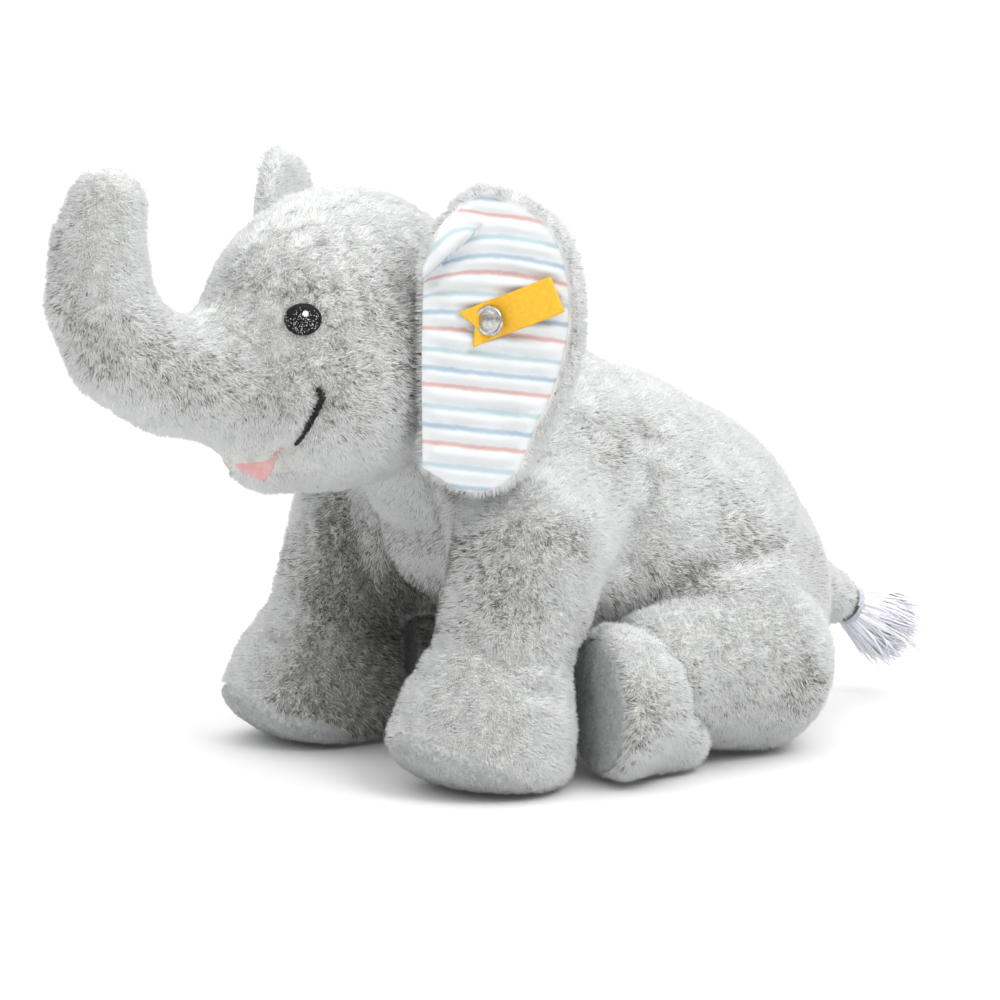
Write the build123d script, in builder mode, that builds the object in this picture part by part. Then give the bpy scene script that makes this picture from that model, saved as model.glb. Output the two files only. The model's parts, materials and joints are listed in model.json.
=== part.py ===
"""A sitting plush elephant with its trunk curled up, as sewn panels around fibre filling.

Millimetres. +Z is up, the elephant looks along -Y, and its left side is +X. The origin is on the
floor under the middle of the whole toy's length and width.
"""

import os
from math import cos, radians, sin

from build123d import *

# Cloth and clearances
WALL = 1.6  # plush panel with its pressed-down pile
GAP = 0.4  # between two parts that move against each other
FAR = 200.0  # larger than the toy, for half-space cuts

# Torso: a pear turned about a line that runs from the neck down to the rump
TORSO_START = (-34.3, 102.0)  # Y, Z on the torso's line
TORSO_END = (77.7, 22.0)
NECK_S = 5.8  # the neck joint's place along the torso's line
NECK_R = 26.0
TORSO_STATIONS = [(27, 31), (50, 40), (74, 46), (96, 49), (120, 46), (138, 36), (150, 20)]
TORSO_LENGTH = 156.0
BELLY_HALF = 16.0  # half width of the belly panel

# Head: round from the side, narrower from the front, with a lower jaw
HEAD_C = (0.0, -52.3, 117.0)
HEAD_R = 40.5
HEAD_HALF_WIDTH = 34.5
GUSSET_HALF = 11.0
JAW_C = (0.0, -74.0, 91.5)
JAW_R = 15.0
CHIN_HALF = 16.0  # half width of the chin panel
NECK_OPENING = 5.0  # the head's rear edge lies this far before the neck joint

# Trunk
TRUNK_ROOT = (0.0, -82.0, 107.0)
TRUNK_R = 17.0
TRUNK_LINE = [(-105.5, 111.3, 16.0), (-119.0, 119.3, 15.0), (-125.4, 131.4, 14.0), (-126.0, 145.6, 12.7)]
TRUNK_TIP = (-123.8, 156.5, 11.0)
TRUNK_MOUTH = (14.0, 22.0)  # how far out and how wide the head's opening flares

# Mouth, eye and smile
MOUTH_HALF = 12.0
MOUTH_BACK = -77.0
MOUTH_FLOOR, MOUTH_TOP = 86.0, 96.0
LINING = 1.2
EYE = (24.0, -80.4, 125.8)
EYE_R = 4.9
EYE_THICK = 1.2
SMILE = [(-76.0, 107.5), (-73.5, 99.0), (-78.0, 90.0)]
THREAD = 0.9

# Ears, in a plane through the ear's root line that is swept back from the head
EAR_ROOT = (38.5, -51.0)
EAR_SWEEP = 53.0  # degrees from +X towards +Y
EAR_OUTLINE = [(2, 150), (16, 161), (29, 158), (40, 145), (43.8, 124), (37, 98), (27, 81), (13, 78.5)]
EAR_FRONT_TOP, EAR_FRONT_FOOT = (0.8, 139.0), (0.8, 88.0)
EAR_MIDDLE = (21.0, 118.0)
EAR_RIM = 3.6  # plush that shows round the lining
EAR_LINING = 1.8
EAR_BACK = 3.0

# Rivet and ribbon tag on the left ear
RIVET_PLACE = (16.0, 125.3)
RIVET_R, RIVET_H = 4.1, 1.9
DOME_ROUND = 1.6
SHANK_R = 1.2
WASHER_R, WASHER_H = 4.0, 0.8
TAG_LENGTH, TAG_WIDTH, TAG_THICK = 24.0, 9.8, 0.8
TAG_BEFORE = 5.5  # ribbon on the short side of the rivet
TAG_TILT = 22.0

# Forelegs: turned about a line that runs from the shoulder to the middle of the sole
SHOULDER = (38.0, -19.3, 63.0)
FOREFOOT = (41.0, -36.5, 3.8)
FORELEG_INNER = 19.6  # flat inner face
FORELEG_R = 20.5
FORELEG_STATIONS = [(20, 19.5), (38, 19.5), (50, 22.5), (56, 24.5)]
FORELEG_LENGTH = 61.7
SOLE_EDGE = 3.5  # round edge between sole and leg
FORE_CUFF = 7.0  # how far the sole panel comes up the foot

# Hind legs: a round haunch beside the rump, with the foot pointing forwards and its sole turned in
HIP = (38.0, 50.7, 25.0)
HINDFOOT = (52.0, -2.0, 21.0)
HINDLEG_R = 26.0
HINDLEG_STATIONS = [(18, 25.5), (36, 22.0), (48, 20.5)]
HINDLEG_LENGTH = 80.0  # beyond the sole, which cuts the foot off aslant
HINDSOLE = (52.0, -8.0, 21.0)  # a place on the sole
HINDSOLE_YAW = 11.0  # degrees that the sole faces in towards the middle
HIND_CUFF = 4.5
HIND_SPLIT = 46.0  # the seam between outer and inner panel
SPLAY_STEPS = [0, 24]  # degrees of the hind leg's sweep that the torso is hollowed for

# Tail
TAIL_ROOT = (0.0, 91.7, 40.0)
TAIL_END = (0.0, 139.0, 18.5)
TAIL_R = 8.5
TAIL_STATIONS = [(12, 8.3), (24, 7.4)]
TAIL_LAST_R = 6.8
TAIL_COVER = 30.0
BINDING = 3.0
BINDING_R = 6.4
TUFT_STATIONS = [(38, 8.4), (44, 9.4), (49, 7.8)]
TUFT_LENGTH = 51.5
TAIL_MOUTH = (20.0, 17.0)  # how far out and how wide the rump's opening flares


def line_plane(start, end):
    """A plane whose X runs from start to end, for a profile that is turned about that line."""
    along = (Vector(*end) - Vector(*start)).normalized()
    side = Vector(1, 0, 0) if abs(along.X) < 0.9 else Vector(0, 1, 0)
    return Plane(origin=start, x_dir=along, z_dir=side - along * side.dot(along))


def turned(plane, first, stations, last, edge=0.0, mode=Mode.ADD):
    """A solid of revolution about the plane's X: a ball of radius first, then stations, then an end.

    A last with a radius ends in a flat disc with a round edge, and without one in a closed dome.
    """
    ball_at, ball_r = first
    end_at, end_r = last
    with BuildSketch(plane) as profile:
        with BuildLine():
            CenterArc((ball_at, 0), ball_r, 90, 90)
            points = [(ball_at, ball_r)] + list(stations)
            if end_r > 0:
                points.append((end_at - edge, end_r))
                Spline(*points, tangents=((1, 0), (1, 0)))
                RadiusArc((end_at - edge, end_r), (end_at, end_r - edge), edge)
                Line((end_at, end_r - edge), (end_at, 0))
            else:
                points.append((end_at, 0))
                Spline(*points, tangents=((1, 0), (0, -1)))
            Line((end_at, 0), (ball_at - ball_r, 0))
        make_face()
    revolve(profile.sketch, axis=Axis(plane.origin, plane.x_dir), mode=mode)


def shrunk(stations, inset):
    """The same stations with smaller radii."""
    return [(at, radius - inset) for at, radius in stations]


def slab(x=(-FAR, FAR), y=(-FAR, FAR), z=(-FAR, FAR), mode=Mode.INTERSECT):
    """A box between the given limits, in the toy's frame."""
    with BuildSketch(Plane.XY.offset(z[0])) as base:
        with Locations(((x[0] + x[1]) / 2, (y[0] + y[1]) / 2)):
            Rectangle(x[1] - x[0], y[1] - y[0])
    extrude(base.sketch, amount=z[1] - z[0], mode=mode)


def ball(center, radius, mode=Mode.ADD):
    """A sphere."""
    with Locations(center):
        Sphere(radius, mode=mode)


TORSO_PLANE = line_plane((0, *TORSO_START), (0, *TORSO_END))
NECK = TORSO_PLANE.from_local_coords(Vector(NECK_S, 0, 0))
TRUNK_PLANE = line_plane(TRUNK_ROOT, (0, TRUNK_LINE[0][0], TRUNK_LINE[0][1]))
TAIL_PLANE = line_plane(TAIL_ROOT, TAIL_END)


def mirrored(place, side):
    """A place on the given side: 1 is the left, -1 the right."""
    return (side * place[0], *place[1:])


def side_slab(side, start, end, mode=Mode.INTERSECT):
    """Everything between two distances from the middle, on one side."""
    limits = sorted((side * start, side * end))
    slab(x=(limits[0], limits[1]), mode=mode)


def torso_form(inset):
    """The pear of the torso, flat where it sits."""
    with BuildPart() as form:
        stations = shrunk(TORSO_STATIONS, inset)
        turned(TORSO_PLANE, (NECK_S, NECK_R - inset), stations, (TORSO_LENGTH - inset, 0))
        slab(z=(inset, FAR))
    return form.part


def foreleg_form(side, inset):
    """A foreleg, flat on its inner side and under its heel."""
    plane = line_plane(mirrored(SHOULDER, side), mirrored(FOREFOOT, side))
    with BuildPart() as form:
        stations = shrunk(FORELEG_STATIONS, inset)
        last = (FORELEG_LENGTH - inset, FORELEG_STATIONS[-1][1] - inset)
        turned(plane, (0, FORELEG_R - inset), stations[:-1], last, edge=SOLE_EDGE)
        slab(z=(inset, FAR))
        side_slab(side, FORELEG_INNER + inset, FAR)
    return form.part


def beyond(plane, distance):
    """Everything further along a plane's X than the given distance."""
    with BuildPart() as region:
        with BuildSketch(Plane(origin=plane.from_local_coords(Vector(distance, 0, 0)), z_dir=plane.x_dir)):
            Rectangle(2 * FAR, 2 * FAR)
        extrude(amount=FAR)
    return region.part


def hindsole_plane(side):
    """The plane of a hind sole, with its X out of the foot."""
    place = Vector(*mirrored(HINDSOLE, side))
    yaw = radians(HINDSOLE_YAW)
    return line_plane(place, place + Vector(-side * sin(yaw), -cos(yaw), 0))


def hindleg_form(side, inset):
    """A hind leg with its ball of a haunch, flat underneath and cut aslant at the sole."""
    plane = line_plane(mirrored(HIP, side), mirrored(HINDFOOT, side))
    sole = hindsole_plane(side)
    with BuildPart() as form:
        stations = shrunk(HINDLEG_STATIONS, inset)
        last = (HINDLEG_LENGTH, HINDLEG_STATIONS[-1][1] - inset)
        turned(plane, (0, HINDLEG_R - inset), stations, last, edge=SOLE_EDGE)
        add(beyond(sole, -inset), mode=Mode.SUBTRACT)
        rim = form.faces().sort_by(lambda face: face.center().dot(sole.x_dir))[-1].edges()
        fillet(rim, SOLE_EDGE - inset)
        slab(z=(inset, FAR))
    return form.part


def carve_shoulder(side):
    """Take out the room that a foreleg needs as it swings forwards."""
    _, y, z = SHOULDER
    reach = FORELEG_R + GAP
    with BuildSketch(Plane.YZ.offset(side * (FORELEG_INNER - GAP))) as profile:
        with Locations((y, z)):
            Circle(reach)
        with Locations(((y + reach - FAR) / 2, z / 2 - GAP)):
            Rectangle(FAR + y + reach, z + 2 * GAP)
        with Locations(((y - FAR) / 2, z + reach / 2)):
            Rectangle(FAR + y, reach)
    extrude(profile.sketch, amount=side * FAR, mode=Mode.SUBTRACT)


def carve_hip(side):
    """Take out the room that a hind leg needs as it splays outwards."""
    leg = hindleg_form(side, -GAP)
    axis = Axis(mirrored(HIP, side), (0, 0, 1))
    for angle in SPLAY_STEPS:
        add(leg.rotate(axis, side * angle), mode=Mode.SUBTRACT)


def carve_torso():
    """Take out of the torso all the room that the legs and the tail move in."""
    for side in (1, -1):
        carve_shoulder(side)
    for side in (1, -1):
        carve_hip(side)
    carve_socket(TAIL_PLANE, TAIL_R + GAP, TAIL_MOUTH)


def carve_socket(plane, radius, mouth):
    """Take out a ball socket at a plane's origin that flares along its X to the mouth and beyond."""
    end, wide = mouth
    with BuildSketch(plane) as profile:
        with BuildLine():
            RadiusArc((-radius, 0), (0, radius), radius)
            Polyline((0, radius), (end, wide), (end + wide, wide), (end + wide, 0), (-radius, 0))
        make_face()
    revolve(profile.sketch, axis=Axis(plane.origin, plane.x_dir), mode=Mode.SUBTRACT)


def tail_form(inset):
    """The tail's plush stub."""
    with BuildPart() as form:
        last = (TAIL_COVER - inset, TAIL_LAST_R - inset)
        turned(TAIL_PLANE, (0, TAIL_R - inset), shrunk(TAIL_STATIONS, inset), last, edge=1.0)
    return form.part


def head_form(inset):
    """The head with its lower jaw, open at the neck."""
    to_neck = (NECK - Vector(*HEAD_C)).normalized()
    front = Plane(origin=HEAD_C, x_dir=(1, 0, 0), z_dir=Vector(1, 0, 0).cross(to_neck))
    with BuildPart() as form:
        wide, tall = HEAD_HALF_WIDTH - inset, HEAD_R - inset
        steps = [radians(angle) for angle in range(0, 181, 30)]
        with BuildSketch(front) as half:
            with BuildLine():
                Spline([(wide * cos(step), tall * sin(step)) for step in steps], tangents=((0, 1), (0, -1)))
                Line((-wide, 0), (wide, 0))
            make_face()
        revolve(half.sketch, axis=Axis(HEAD_C, (1, 0, 0)))
        ball(JAW_C, JAW_R - inset)
    return form.part


def trunk_form(inset):
    """The curled-up trunk, with its round root inside the head."""
    with BuildPart() as form:
        line = [(TRUNK_ROOT[1], TRUNK_ROOT[2], TRUNK_R)] + TRUNK_LINE + [TRUNK_TIP]
        places = [Vector(0, y, z) for y, z, _ in line]
        for i, (_, _, radius) in enumerate(line):
            before, after = places[max(i - 1, 0)], places[min(i + 1, len(line) - 1)]
            with BuildSketch(Plane(origin=places[i], x_dir=(1, 0, 0), z_dir=after - before)):
                Circle(radius - inset)
        loft()
        ball(TRUNK_ROOT, TRUNK_R - inset)
        ball(places[-1], TRUNK_TIP[2] - inset)
    return form.part


def write(piece, name):
    """Label a finished piece and write its file."""
    piece.part.label = name
    export_step(piece.part, f"parts/{name}.step")


def write_torso():
    """Two side panels, the belly panel between them, and the filling."""
    outer, inner = torso_form(0), torso_form(WALL)
    with BuildPart() as shell:
        add(outer)
        add(inner, mode=Mode.SUBTRACT)
        carve_torso()
    under = Plane(origin=TORSO_PLANE.origin, x_dir=(1, 0, 0), z_dir=TORSO_PLANE.x_dir.cross(Vector(1, 0, 0)))
    with BuildPart() as belly_zone:
        with BuildSketch(under):
            Rectangle(2 * BELLY_HALF, 2 * FAR)
        extrude(amount=FAR)
    with BuildPart() as belly_panel:
        add(shell.part)
        add(belly_zone.part, mode=Mode.INTERSECT)
    write(belly_panel, "belly_panel")
    for side, word in ((1, "left"), (-1, "right")):
        with BuildPart() as torso_side:
            add(shell.part)
            add(belly_zone.part, mode=Mode.SUBTRACT)
            side_slab(side, 0, FAR)
        write(torso_side, f"torso_side_{word}")
    with BuildPart() as torso_filling:
        add(inner)
        carve_torso()
    write(torso_filling, "torso_filling")


def carve_head():
    """Take out of the head the neck, the trunk's root and the room that they move in."""
    reach = NECK_R + GAP
    rim = (NECK_S - NECK_OPENING, (reach**2 - NECK_OPENING**2) ** 0.5)
    with BuildSketch(TORSO_PLANE) as neck:
        with BuildLine():
            RadiusArc((NECK_S - reach, 0), rim, reach)
            Polyline(rim, (rim[0], FAR), (FAR, FAR), (FAR, 0), (NECK_S - reach, 0))
        make_face()
    revolve(neck.sketch, axis=Axis(TORSO_PLANE.origin, TORSO_PLANE.x_dir), mode=Mode.SUBTRACT)
    carve_socket(TRUNK_PLANE, TRUNK_R + GAP, TRUNK_MOUTH)


def open_mouth():
    """Take out the gap between the trunk's root and the lower jaw, with the lining's room."""
    slab(x=(-MOUTH_HALF, MOUTH_HALF), y=(-FAR, MOUTH_BACK), z=(MOUTH_FLOOR, MOUTH_TOP), mode=Mode.SUBTRACT)


def write_head():
    """Side panels, the gusset over the crown, the chin panel, the mouth's lining and the filling."""
    outer, inner = head_form(0), head_form(WALL)
    with BuildPart() as mouth_lining:
        add(outer)
        slab(x=(-MOUTH_HALF, MOUTH_HALF), y=(-FAR, MOUTH_BACK), z=(MOUTH_FLOOR, MOUTH_FLOOR + LINING))
        carve_head()
    write(mouth_lining, "mouth_lining")
    with BuildPart() as shell:
        add(outer)
        add(inner, mode=Mode.SUBTRACT)
        open_mouth()
        carve_head()
    middle = TRUNK_ROOT[2]
    with BuildPart() as head_gusset:
        add(shell.part)
        slab(x=(-GUSSET_HALF, GUSSET_HALF), z=(middle, FAR))
    write(head_gusset, "head_gusset")
    with BuildPart() as chin_panel:
        add(shell.part)
        slab(x=(-CHIN_HALF, CHIN_HALF), z=(0, middle))
    write(chin_panel, "chin_panel")
    for side, word in ((1, "left"), (-1, "right")):
        with BuildPart() as head_side:
            add(shell.part)
            side_slab(side, GUSSET_HALF, FAR)
            slab(x=(-CHIN_HALF, CHIN_HALF), z=(0, middle), mode=Mode.SUBTRACT)
        write(head_side, f"head_side_{word}")
    with BuildPart() as head_filling:
        add(inner)
        open_mouth()
        carve_head()
    write(head_filling, "head_filling")


def write_face():
    """Each side's embroidered eye and stitched smile, raised on the head's skin."""
    skin = head_form(0)
    for side, word in ((1, "left"), (-1, "right")):
        eye = Vector(*mirrored(EYE, side))
        reach = eye - Vector(*HEAD_C)
        stretch = (HEAD_R / HEAD_HALF_WIDTH) ** 2
        outward = Vector(reach.X * stretch, reach.Y, reach.Z)
        with BuildPart() as eye_patch:
            with BuildSketch(Plane(origin=eye - outward.normalized() * EYE_R, z_dir=outward)):
                Circle(EYE_R)
            extrude(amount=2 * EYE_R)
            add(head_form(-EYE_THICK), mode=Mode.INTERSECT)
            add(skin, mode=Mode.SUBTRACT)
        write(eye_patch, f"eye_{word}")
        with BuildPart() as smile:
            with BuildSketch(Plane.YZ):
                with BuildLine() as curve:
                    ThreePointArc(*SMILE)
                trace(curve.line, line_width=THREAD)
            extrude(amount=side * HEAD_HALF_WIDTH)
            add(head_form(-THREAD), mode=Mode.INTERSECT)
            add(skin, mode=Mode.SUBTRACT)
            carve_head()
        write(smile, f"smile_stitch_{word}")


def write_trunk():
    """Left and right panels and the filling."""
    outer, inner = trunk_form(0), trunk_form(WALL)
    for side, word in ((1, "left"), (-1, "right")):
        with BuildPart() as trunk_panel:
            add(outer)
            add(inner, mode=Mode.SUBTRACT)
            side_slab(side, 0, FAR)
        write(trunk_panel, f"trunk_{word}")
    with BuildPart() as trunk_filling:
        add(inner)
    write(trunk_filling, "trunk_filling")


def ear_plane(side):
    """X runs out along the ear and Y runs up. The plane's height 0 is where back and lining meet."""
    turn = radians(EAR_SWEEP)
    out = Vector(side * cos(turn), sin(turn), 0)
    return Plane(origin=(side * EAR_ROOT[0], EAR_ROOT[1], 0), x_dir=out, z_dir=out.cross(Vector(0, 0, 1)))


def ear_outline(plane, inset=0):
    """The ear's edge on a plane: one free curve, closed by the straight root, drawn in by inset."""
    middle = Vector(*EAR_MIDDLE)
    points = []
    for place in [EAR_FRONT_TOP, *EAR_OUTLINE, EAR_FRONT_FOOT]:
        inwards = (middle - Vector(*place)).normalized()
        points.append(Vector(*place) + inwards * inset)
    with BuildSketch(plane) as outline:
        with BuildLine():
            Spline(*points)
            Line(points[-1], points[0])
        make_face()
    return outline.sketch


def write_ears():
    """Plush backs that come round the edge as a rim, and flat velour linings inside it."""
    for side, word in ((1, "left"), (-1, "right")):
        plane = ear_plane(side)
        with BuildPart() as ear_lining:
            extrude(ear_outline(plane, EAR_RIM), amount=side * EAR_LINING)
            if side == 1:
                with BuildSketch(plane):
                    with Locations(RIVET_PLACE):
                        Circle(SHANK_R)
                extrude(amount=EAR_LINING, mode=Mode.SUBTRACT)
        write(ear_lining, f"ear_lining_{word}")
        with BuildPart() as ear_back:
            behind = plane.offset(-side * EAR_BACK)
            extrude(ear_outline(behind), amount=side * (EAR_BACK + EAR_LINING))
            extrude(ear_outline(plane, EAR_RIM), amount=side * EAR_LINING, mode=Mode.SUBTRACT)
            if side == 1:
                with BuildSketch(plane.offset(-EAR_BACK)):
                    with Locations(RIVET_PLACE):
                        Circle(SHANK_R)
                extrude(amount=EAR_BACK, mode=Mode.SUBTRACT)
        write(ear_back, f"ear_back_{word}")


def write_rivet_and_tag():
    """A plain domed rivet through the left ear, its washer behind, and the blank ribbon tag under its head."""
    plane = ear_plane(1)
    tag_floor = EAR_LINING + GAP
    tag_top = tag_floor + TAG_THICK
    with BuildPart() as ear_tag:
        with BuildSketch(plane.offset(tag_floor)):
            with Locations(Location(RIVET_PLACE, TAG_TILT)):
                with Locations((TAG_LENGTH / 2 - TAG_BEFORE, 0)):
                    Rectangle(TAG_LENGTH, TAG_WIDTH)
                Circle(SHANK_R + GAP, mode=Mode.SUBTRACT)
        extrude(amount=TAG_THICK)
    write(ear_tag, "ear_tag")
    head_floor = tag_top + GAP / 2
    with BuildPart() as rivet:
        with BuildSketch(plane.offset(-EAR_BACK - WASHER_H)):
            with Locations(RIVET_PLACE):
                Circle(SHANK_R)
        extrude(amount=EAR_BACK + WASHER_H + head_floor)
        with BuildSketch(plane.offset(head_floor)):
            with Locations(RIVET_PLACE):
                Circle(RIVET_R)
        extrude(amount=RIVET_H)
        dome_edge = rivet.faces().sort_by(Axis(plane.origin, plane.z_dir))[-1].edges()
        fillet(dome_edge, DOME_ROUND)
    write(rivet, "rivet")
    with BuildPart() as rivet_washer:
        with BuildSketch(plane.offset(-EAR_BACK)):
            with Locations(RIVET_PLACE):
                Circle(WASHER_R)
                Circle(SHANK_R, mode=Mode.SUBTRACT)
        extrude(amount=-WASHER_H)
    write(rivet_washer, "rivet_washer")


def write_limb(outer, inner, cuff, split, word):
    """A limb's outer and inner panels, its sole and its filling."""
    with BuildPart() as shell:
        add(outer)
        add(inner, mode=Mode.SUBTRACT)
    with BuildPart() as sole:
        add(shell.part)
        add(cuff, mode=Mode.INTERSECT)
    write(sole, f"{word}_sole")
    for name, mode in (("outer", Mode.INTERSECT), ("inner", Mode.SUBTRACT)):
        with BuildPart() as panel:
            add(shell.part)
            add(cuff, mode=Mode.SUBTRACT)
            add(split, mode=mode)
        write(panel, f"{word}_{name}")
    with BuildPart() as filling:
        add(inner)
    write(filling, f"{word}_filling")


def outboard(side, x):
    """Everything further out than x on one side."""
    with BuildPart() as region:
        limits = sorted((side * x, side * FAR))
        slab(x=(limits[0], limits[1]), mode=Mode.ADD)
    return region.part


def write_legs():
    """All four legs."""
    for side, word in ((1, "left"), (-1, "right")):
        fore = line_plane(mirrored(SHOULDER, side), mirrored(FOREFOOT, side))
        cuff = beyond(fore, FORELEG_LENGTH - FORE_CUFF)
        write_limb(foreleg_form(side, 0), foreleg_form(side, WALL), cuff, outboard(side, SHOULDER[0]),
                   f"foreleg_{word}")
        cuff = beyond(hindsole_plane(side), -HIND_CUFF)
        write_limb(hindleg_form(side, 0), hindleg_form(side, WALL), cuff, outboard(side, HIND_SPLIT),
                   f"hindleg_{word}")


def write_tail():
    """The plush stub with its filling, the thread that binds it, and the yarn tuft."""
    outer, inner = tail_form(0), tail_form(WALL)
    with BuildPart() as tail_cover:
        add(outer)
        add(inner, mode=Mode.SUBTRACT)
    write(tail_cover, "tail_cover")
    with BuildPart() as tail_filling:
        add(inner)
    write(tail_filling, "tail_filling")
    with BuildPart() as tail_binding:
        with BuildSketch(Plane(origin=TAIL_PLANE.from_local_coords(Vector(TAIL_COVER, 0, 0)),
                               z_dir=TAIL_PLANE.x_dir)):
            Circle(BINDING_R)
        extrude(amount=BINDING)
    write(tail_binding, "tail_binding")
    start = TAIL_COVER + BINDING
    with BuildPart() as tail_tuft:
        with BuildSketch(TAIL_PLANE):
            with BuildLine():
                Line((start, 0), (start, BINDING_R))
                Spline((start, BINDING_R), *TUFT_STATIONS, (TUFT_LENGTH, 0), tangents=((1, 0.4), (0, -1)))
                Line((TUFT_LENGTH, 0), (start, 0))
            make_face()
        revolve(axis=Axis(TAIL_PLANE.origin, TAIL_PLANE.x_dir))
    write(tail_tuft, "tail_tuft")


os.makedirs("parts", exist_ok=True)
write_torso()
write_head()
write_face()
write_trunk()
write_ears()
write_rivet_and_tag()
write_legs()
write_tail()
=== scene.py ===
"""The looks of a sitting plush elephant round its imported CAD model.

Soft forms are worked out in millimetres as distance fields, because that is what smooth stuffed
shapes and their seams need, and every mesh is turned into metres in the CAD frame when it is made.
+Z is up, the elephant looks along -Y and its left side is +X.
"""

import json
from math import cos, pi, radians, sin, tau

import bpy
import numpy as np
import openvdb
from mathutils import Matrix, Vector

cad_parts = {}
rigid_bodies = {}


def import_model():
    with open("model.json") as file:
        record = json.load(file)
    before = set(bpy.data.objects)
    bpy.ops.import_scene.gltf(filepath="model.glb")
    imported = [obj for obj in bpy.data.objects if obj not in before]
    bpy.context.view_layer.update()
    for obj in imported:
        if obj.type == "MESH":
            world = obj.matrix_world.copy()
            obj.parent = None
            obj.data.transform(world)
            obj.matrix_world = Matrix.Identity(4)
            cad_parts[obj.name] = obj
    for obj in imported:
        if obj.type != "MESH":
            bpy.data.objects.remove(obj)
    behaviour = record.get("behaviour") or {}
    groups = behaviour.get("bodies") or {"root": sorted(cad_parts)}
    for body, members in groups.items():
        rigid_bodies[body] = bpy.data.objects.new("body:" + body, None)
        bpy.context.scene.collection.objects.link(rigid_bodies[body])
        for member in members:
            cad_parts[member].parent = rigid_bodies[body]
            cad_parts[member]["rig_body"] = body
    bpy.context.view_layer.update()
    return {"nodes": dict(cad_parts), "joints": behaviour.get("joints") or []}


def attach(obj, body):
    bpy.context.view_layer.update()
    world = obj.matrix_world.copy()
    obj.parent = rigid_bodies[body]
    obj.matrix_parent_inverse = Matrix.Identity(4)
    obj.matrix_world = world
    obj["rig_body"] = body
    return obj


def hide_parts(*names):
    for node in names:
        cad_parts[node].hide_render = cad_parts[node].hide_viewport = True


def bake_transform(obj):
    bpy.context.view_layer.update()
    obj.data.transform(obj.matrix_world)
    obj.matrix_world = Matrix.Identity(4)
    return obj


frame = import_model()

MM = 0.001
SIDES = {"left": 1.0, "right": -1.0}
JOINTS = {joint["name"]: joint for joint in frame["joints"]}

# Plush
PILE = 2.7  # strand length
SKIN_INSET = 1.9  # the cloth under the pile lies this far inside the outer form
STRAND_WIDTH = 0.34
DENSITY = 6.6  # strands per square millimetre
SKIN_STEP = 1.25  # the side of a grid cell when a form becomes a mesh
PIECE_STRANDS = 60000  # most strands in one mesh
LOWEST = 0.15  # no strand's tip is below this height
ROOT_DEPTH = 0.4  # strands start this far under the cloth
CLUMP, CLUMP_CELL = 0.45, 1.4  # how much strands draw together into tufts, and the tufts' size


def joint_at(name):
    """The place of a joint, in millimetres."""
    return np.array(JOINTS[name]["pos_m"]) / MM


NECK = joint_at("head_nod")
TRUNK_ROOT = joint_at("trunk_flex")
TAIL_ROOT = joint_at("tail_swing")
SHOULDER = joint_at("foreleg_swing_left")
HIP = joint_at("hindleg_splay_left")
EAR_HINGE = joint_at("ear_flap_left")
RIVET = joint_at("ear_tag_swivel")
RIVET_A = np.hypot(*(RIVET - EAR_HINGE)[:2])  # how far along the ear the rivet is

# Torso: balls along the line from the neck to the rump
TORSO_LINE = np.array([0.0, 0.8138, -0.5812])
TORSO_BALLS = [(0, 26), (21, 31), (44, 40), (68, 46), (90, 49), (106, 44)]
BELLY_HALF = 16.0
THIGH_CREASE = [(44, 18, 45), (46, 25, 49.5), (46.5, 31, 52.8), (48, 42.5, 54.2), (46, 56, 56)]
THIGH_CREASE += [(44.5, 61, 56.5)]
NAPE_CREASE = [(22, 86), (17, 72), (11, 57)]  # from the side

# Head
HEAD = np.array([0.0, -52.3, 117.0])
HEAD_RADII = (34.5, 40.5, 40.5)
JAW = np.array([0.0, -74.0, 91.5])
JAW_R = 15.0
MOUTH_TOP = -3.0  # the mouth patch's upper edge, from the jaw's middle
MOUTH_DEEPEST = 40  # it is deepest this many degrees to either side
TRUNK_BALLS = [
    ((0, -105.5, 110.7), 16.6),
    ((0, -119.8, 118.6), 15.8),
    ((0, -126.4, 131.0), 14.8),
    ((0, -126.6, 145.6), 13.2),
    ((0, -124.0, 155.3), 11.2),
]
EYE = np.array([24.0, -80.4, 125.8])
EYE_R = 4.9
EYE_FLAT = 0.85  # an eye's height as a share of its width
EYE_DOME, EYE_SUNK = 1.5, 1.3  # how high its patch is domed, and how deep it sits
SMILE = [(-77.6, 107.9), (-76.8, 105.6), (-77.8, 102.6), (-78.9, 99.0), (-79.3, 95.6), (-79.2, 92.4)]
MOUTH_CORNER = (-79.9, 90.0)
STITCHES = 15
CHEEK_CREASE = [(18, -92.5, 114.6), (20.7, -89.4, 109.2)]
CHIN_CREASE = [(21.8, -74.9, 87.3), (21, -62.6, 83)]

# Legs of the left side
FOREFOOT = np.array([41.0, -38.5, 3.8])
FORE_SOLE, FORE_SOLE_R = (42.3, -44.5, 1.0), 21.4
HIND_SOLE, HIND_SOLE_R = (52.0, -8.0, 21.0), 17.3
CUFF_EDGE = [(-58, 60), (-42, 38.5), (-39, 34.3), (-33.6, 30.2), (-25, 27.8), (-14, 27.8)]  # from the side
ANKLE = [(53, -42, 38.5), (58, -39, 34.3), (59.4, -33.6, 30.2), (60, -25, 27.8), (57, -14, 27.8)]
FORELEG_BALLS = [(0, 20.5), (20, 19.6), (33, 19.0), (41, 21.8), (50, 24.6), (58, 26.0)]
FORE_DOME, FORE_DOME_R = 6.0, 51.0  # how far the stuffing pushes a fore sole out, and that dome's radius
FORELEG_INNER = 19.6
HINDFOOT = np.array([52.0, -2.0, 21.0])
HINDSOLE_OUT = np.array([-sin(radians(11)), -cos(radians(11)), 0.0])
HEEL = np.array([50.0, 17.0, 9.0])
KNEE = np.array([48.0, 17.0, 27.0])
KNEE_CREASE = [(56, 10, 45), (60, 24, 43), (62, 38, 40)]

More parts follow.
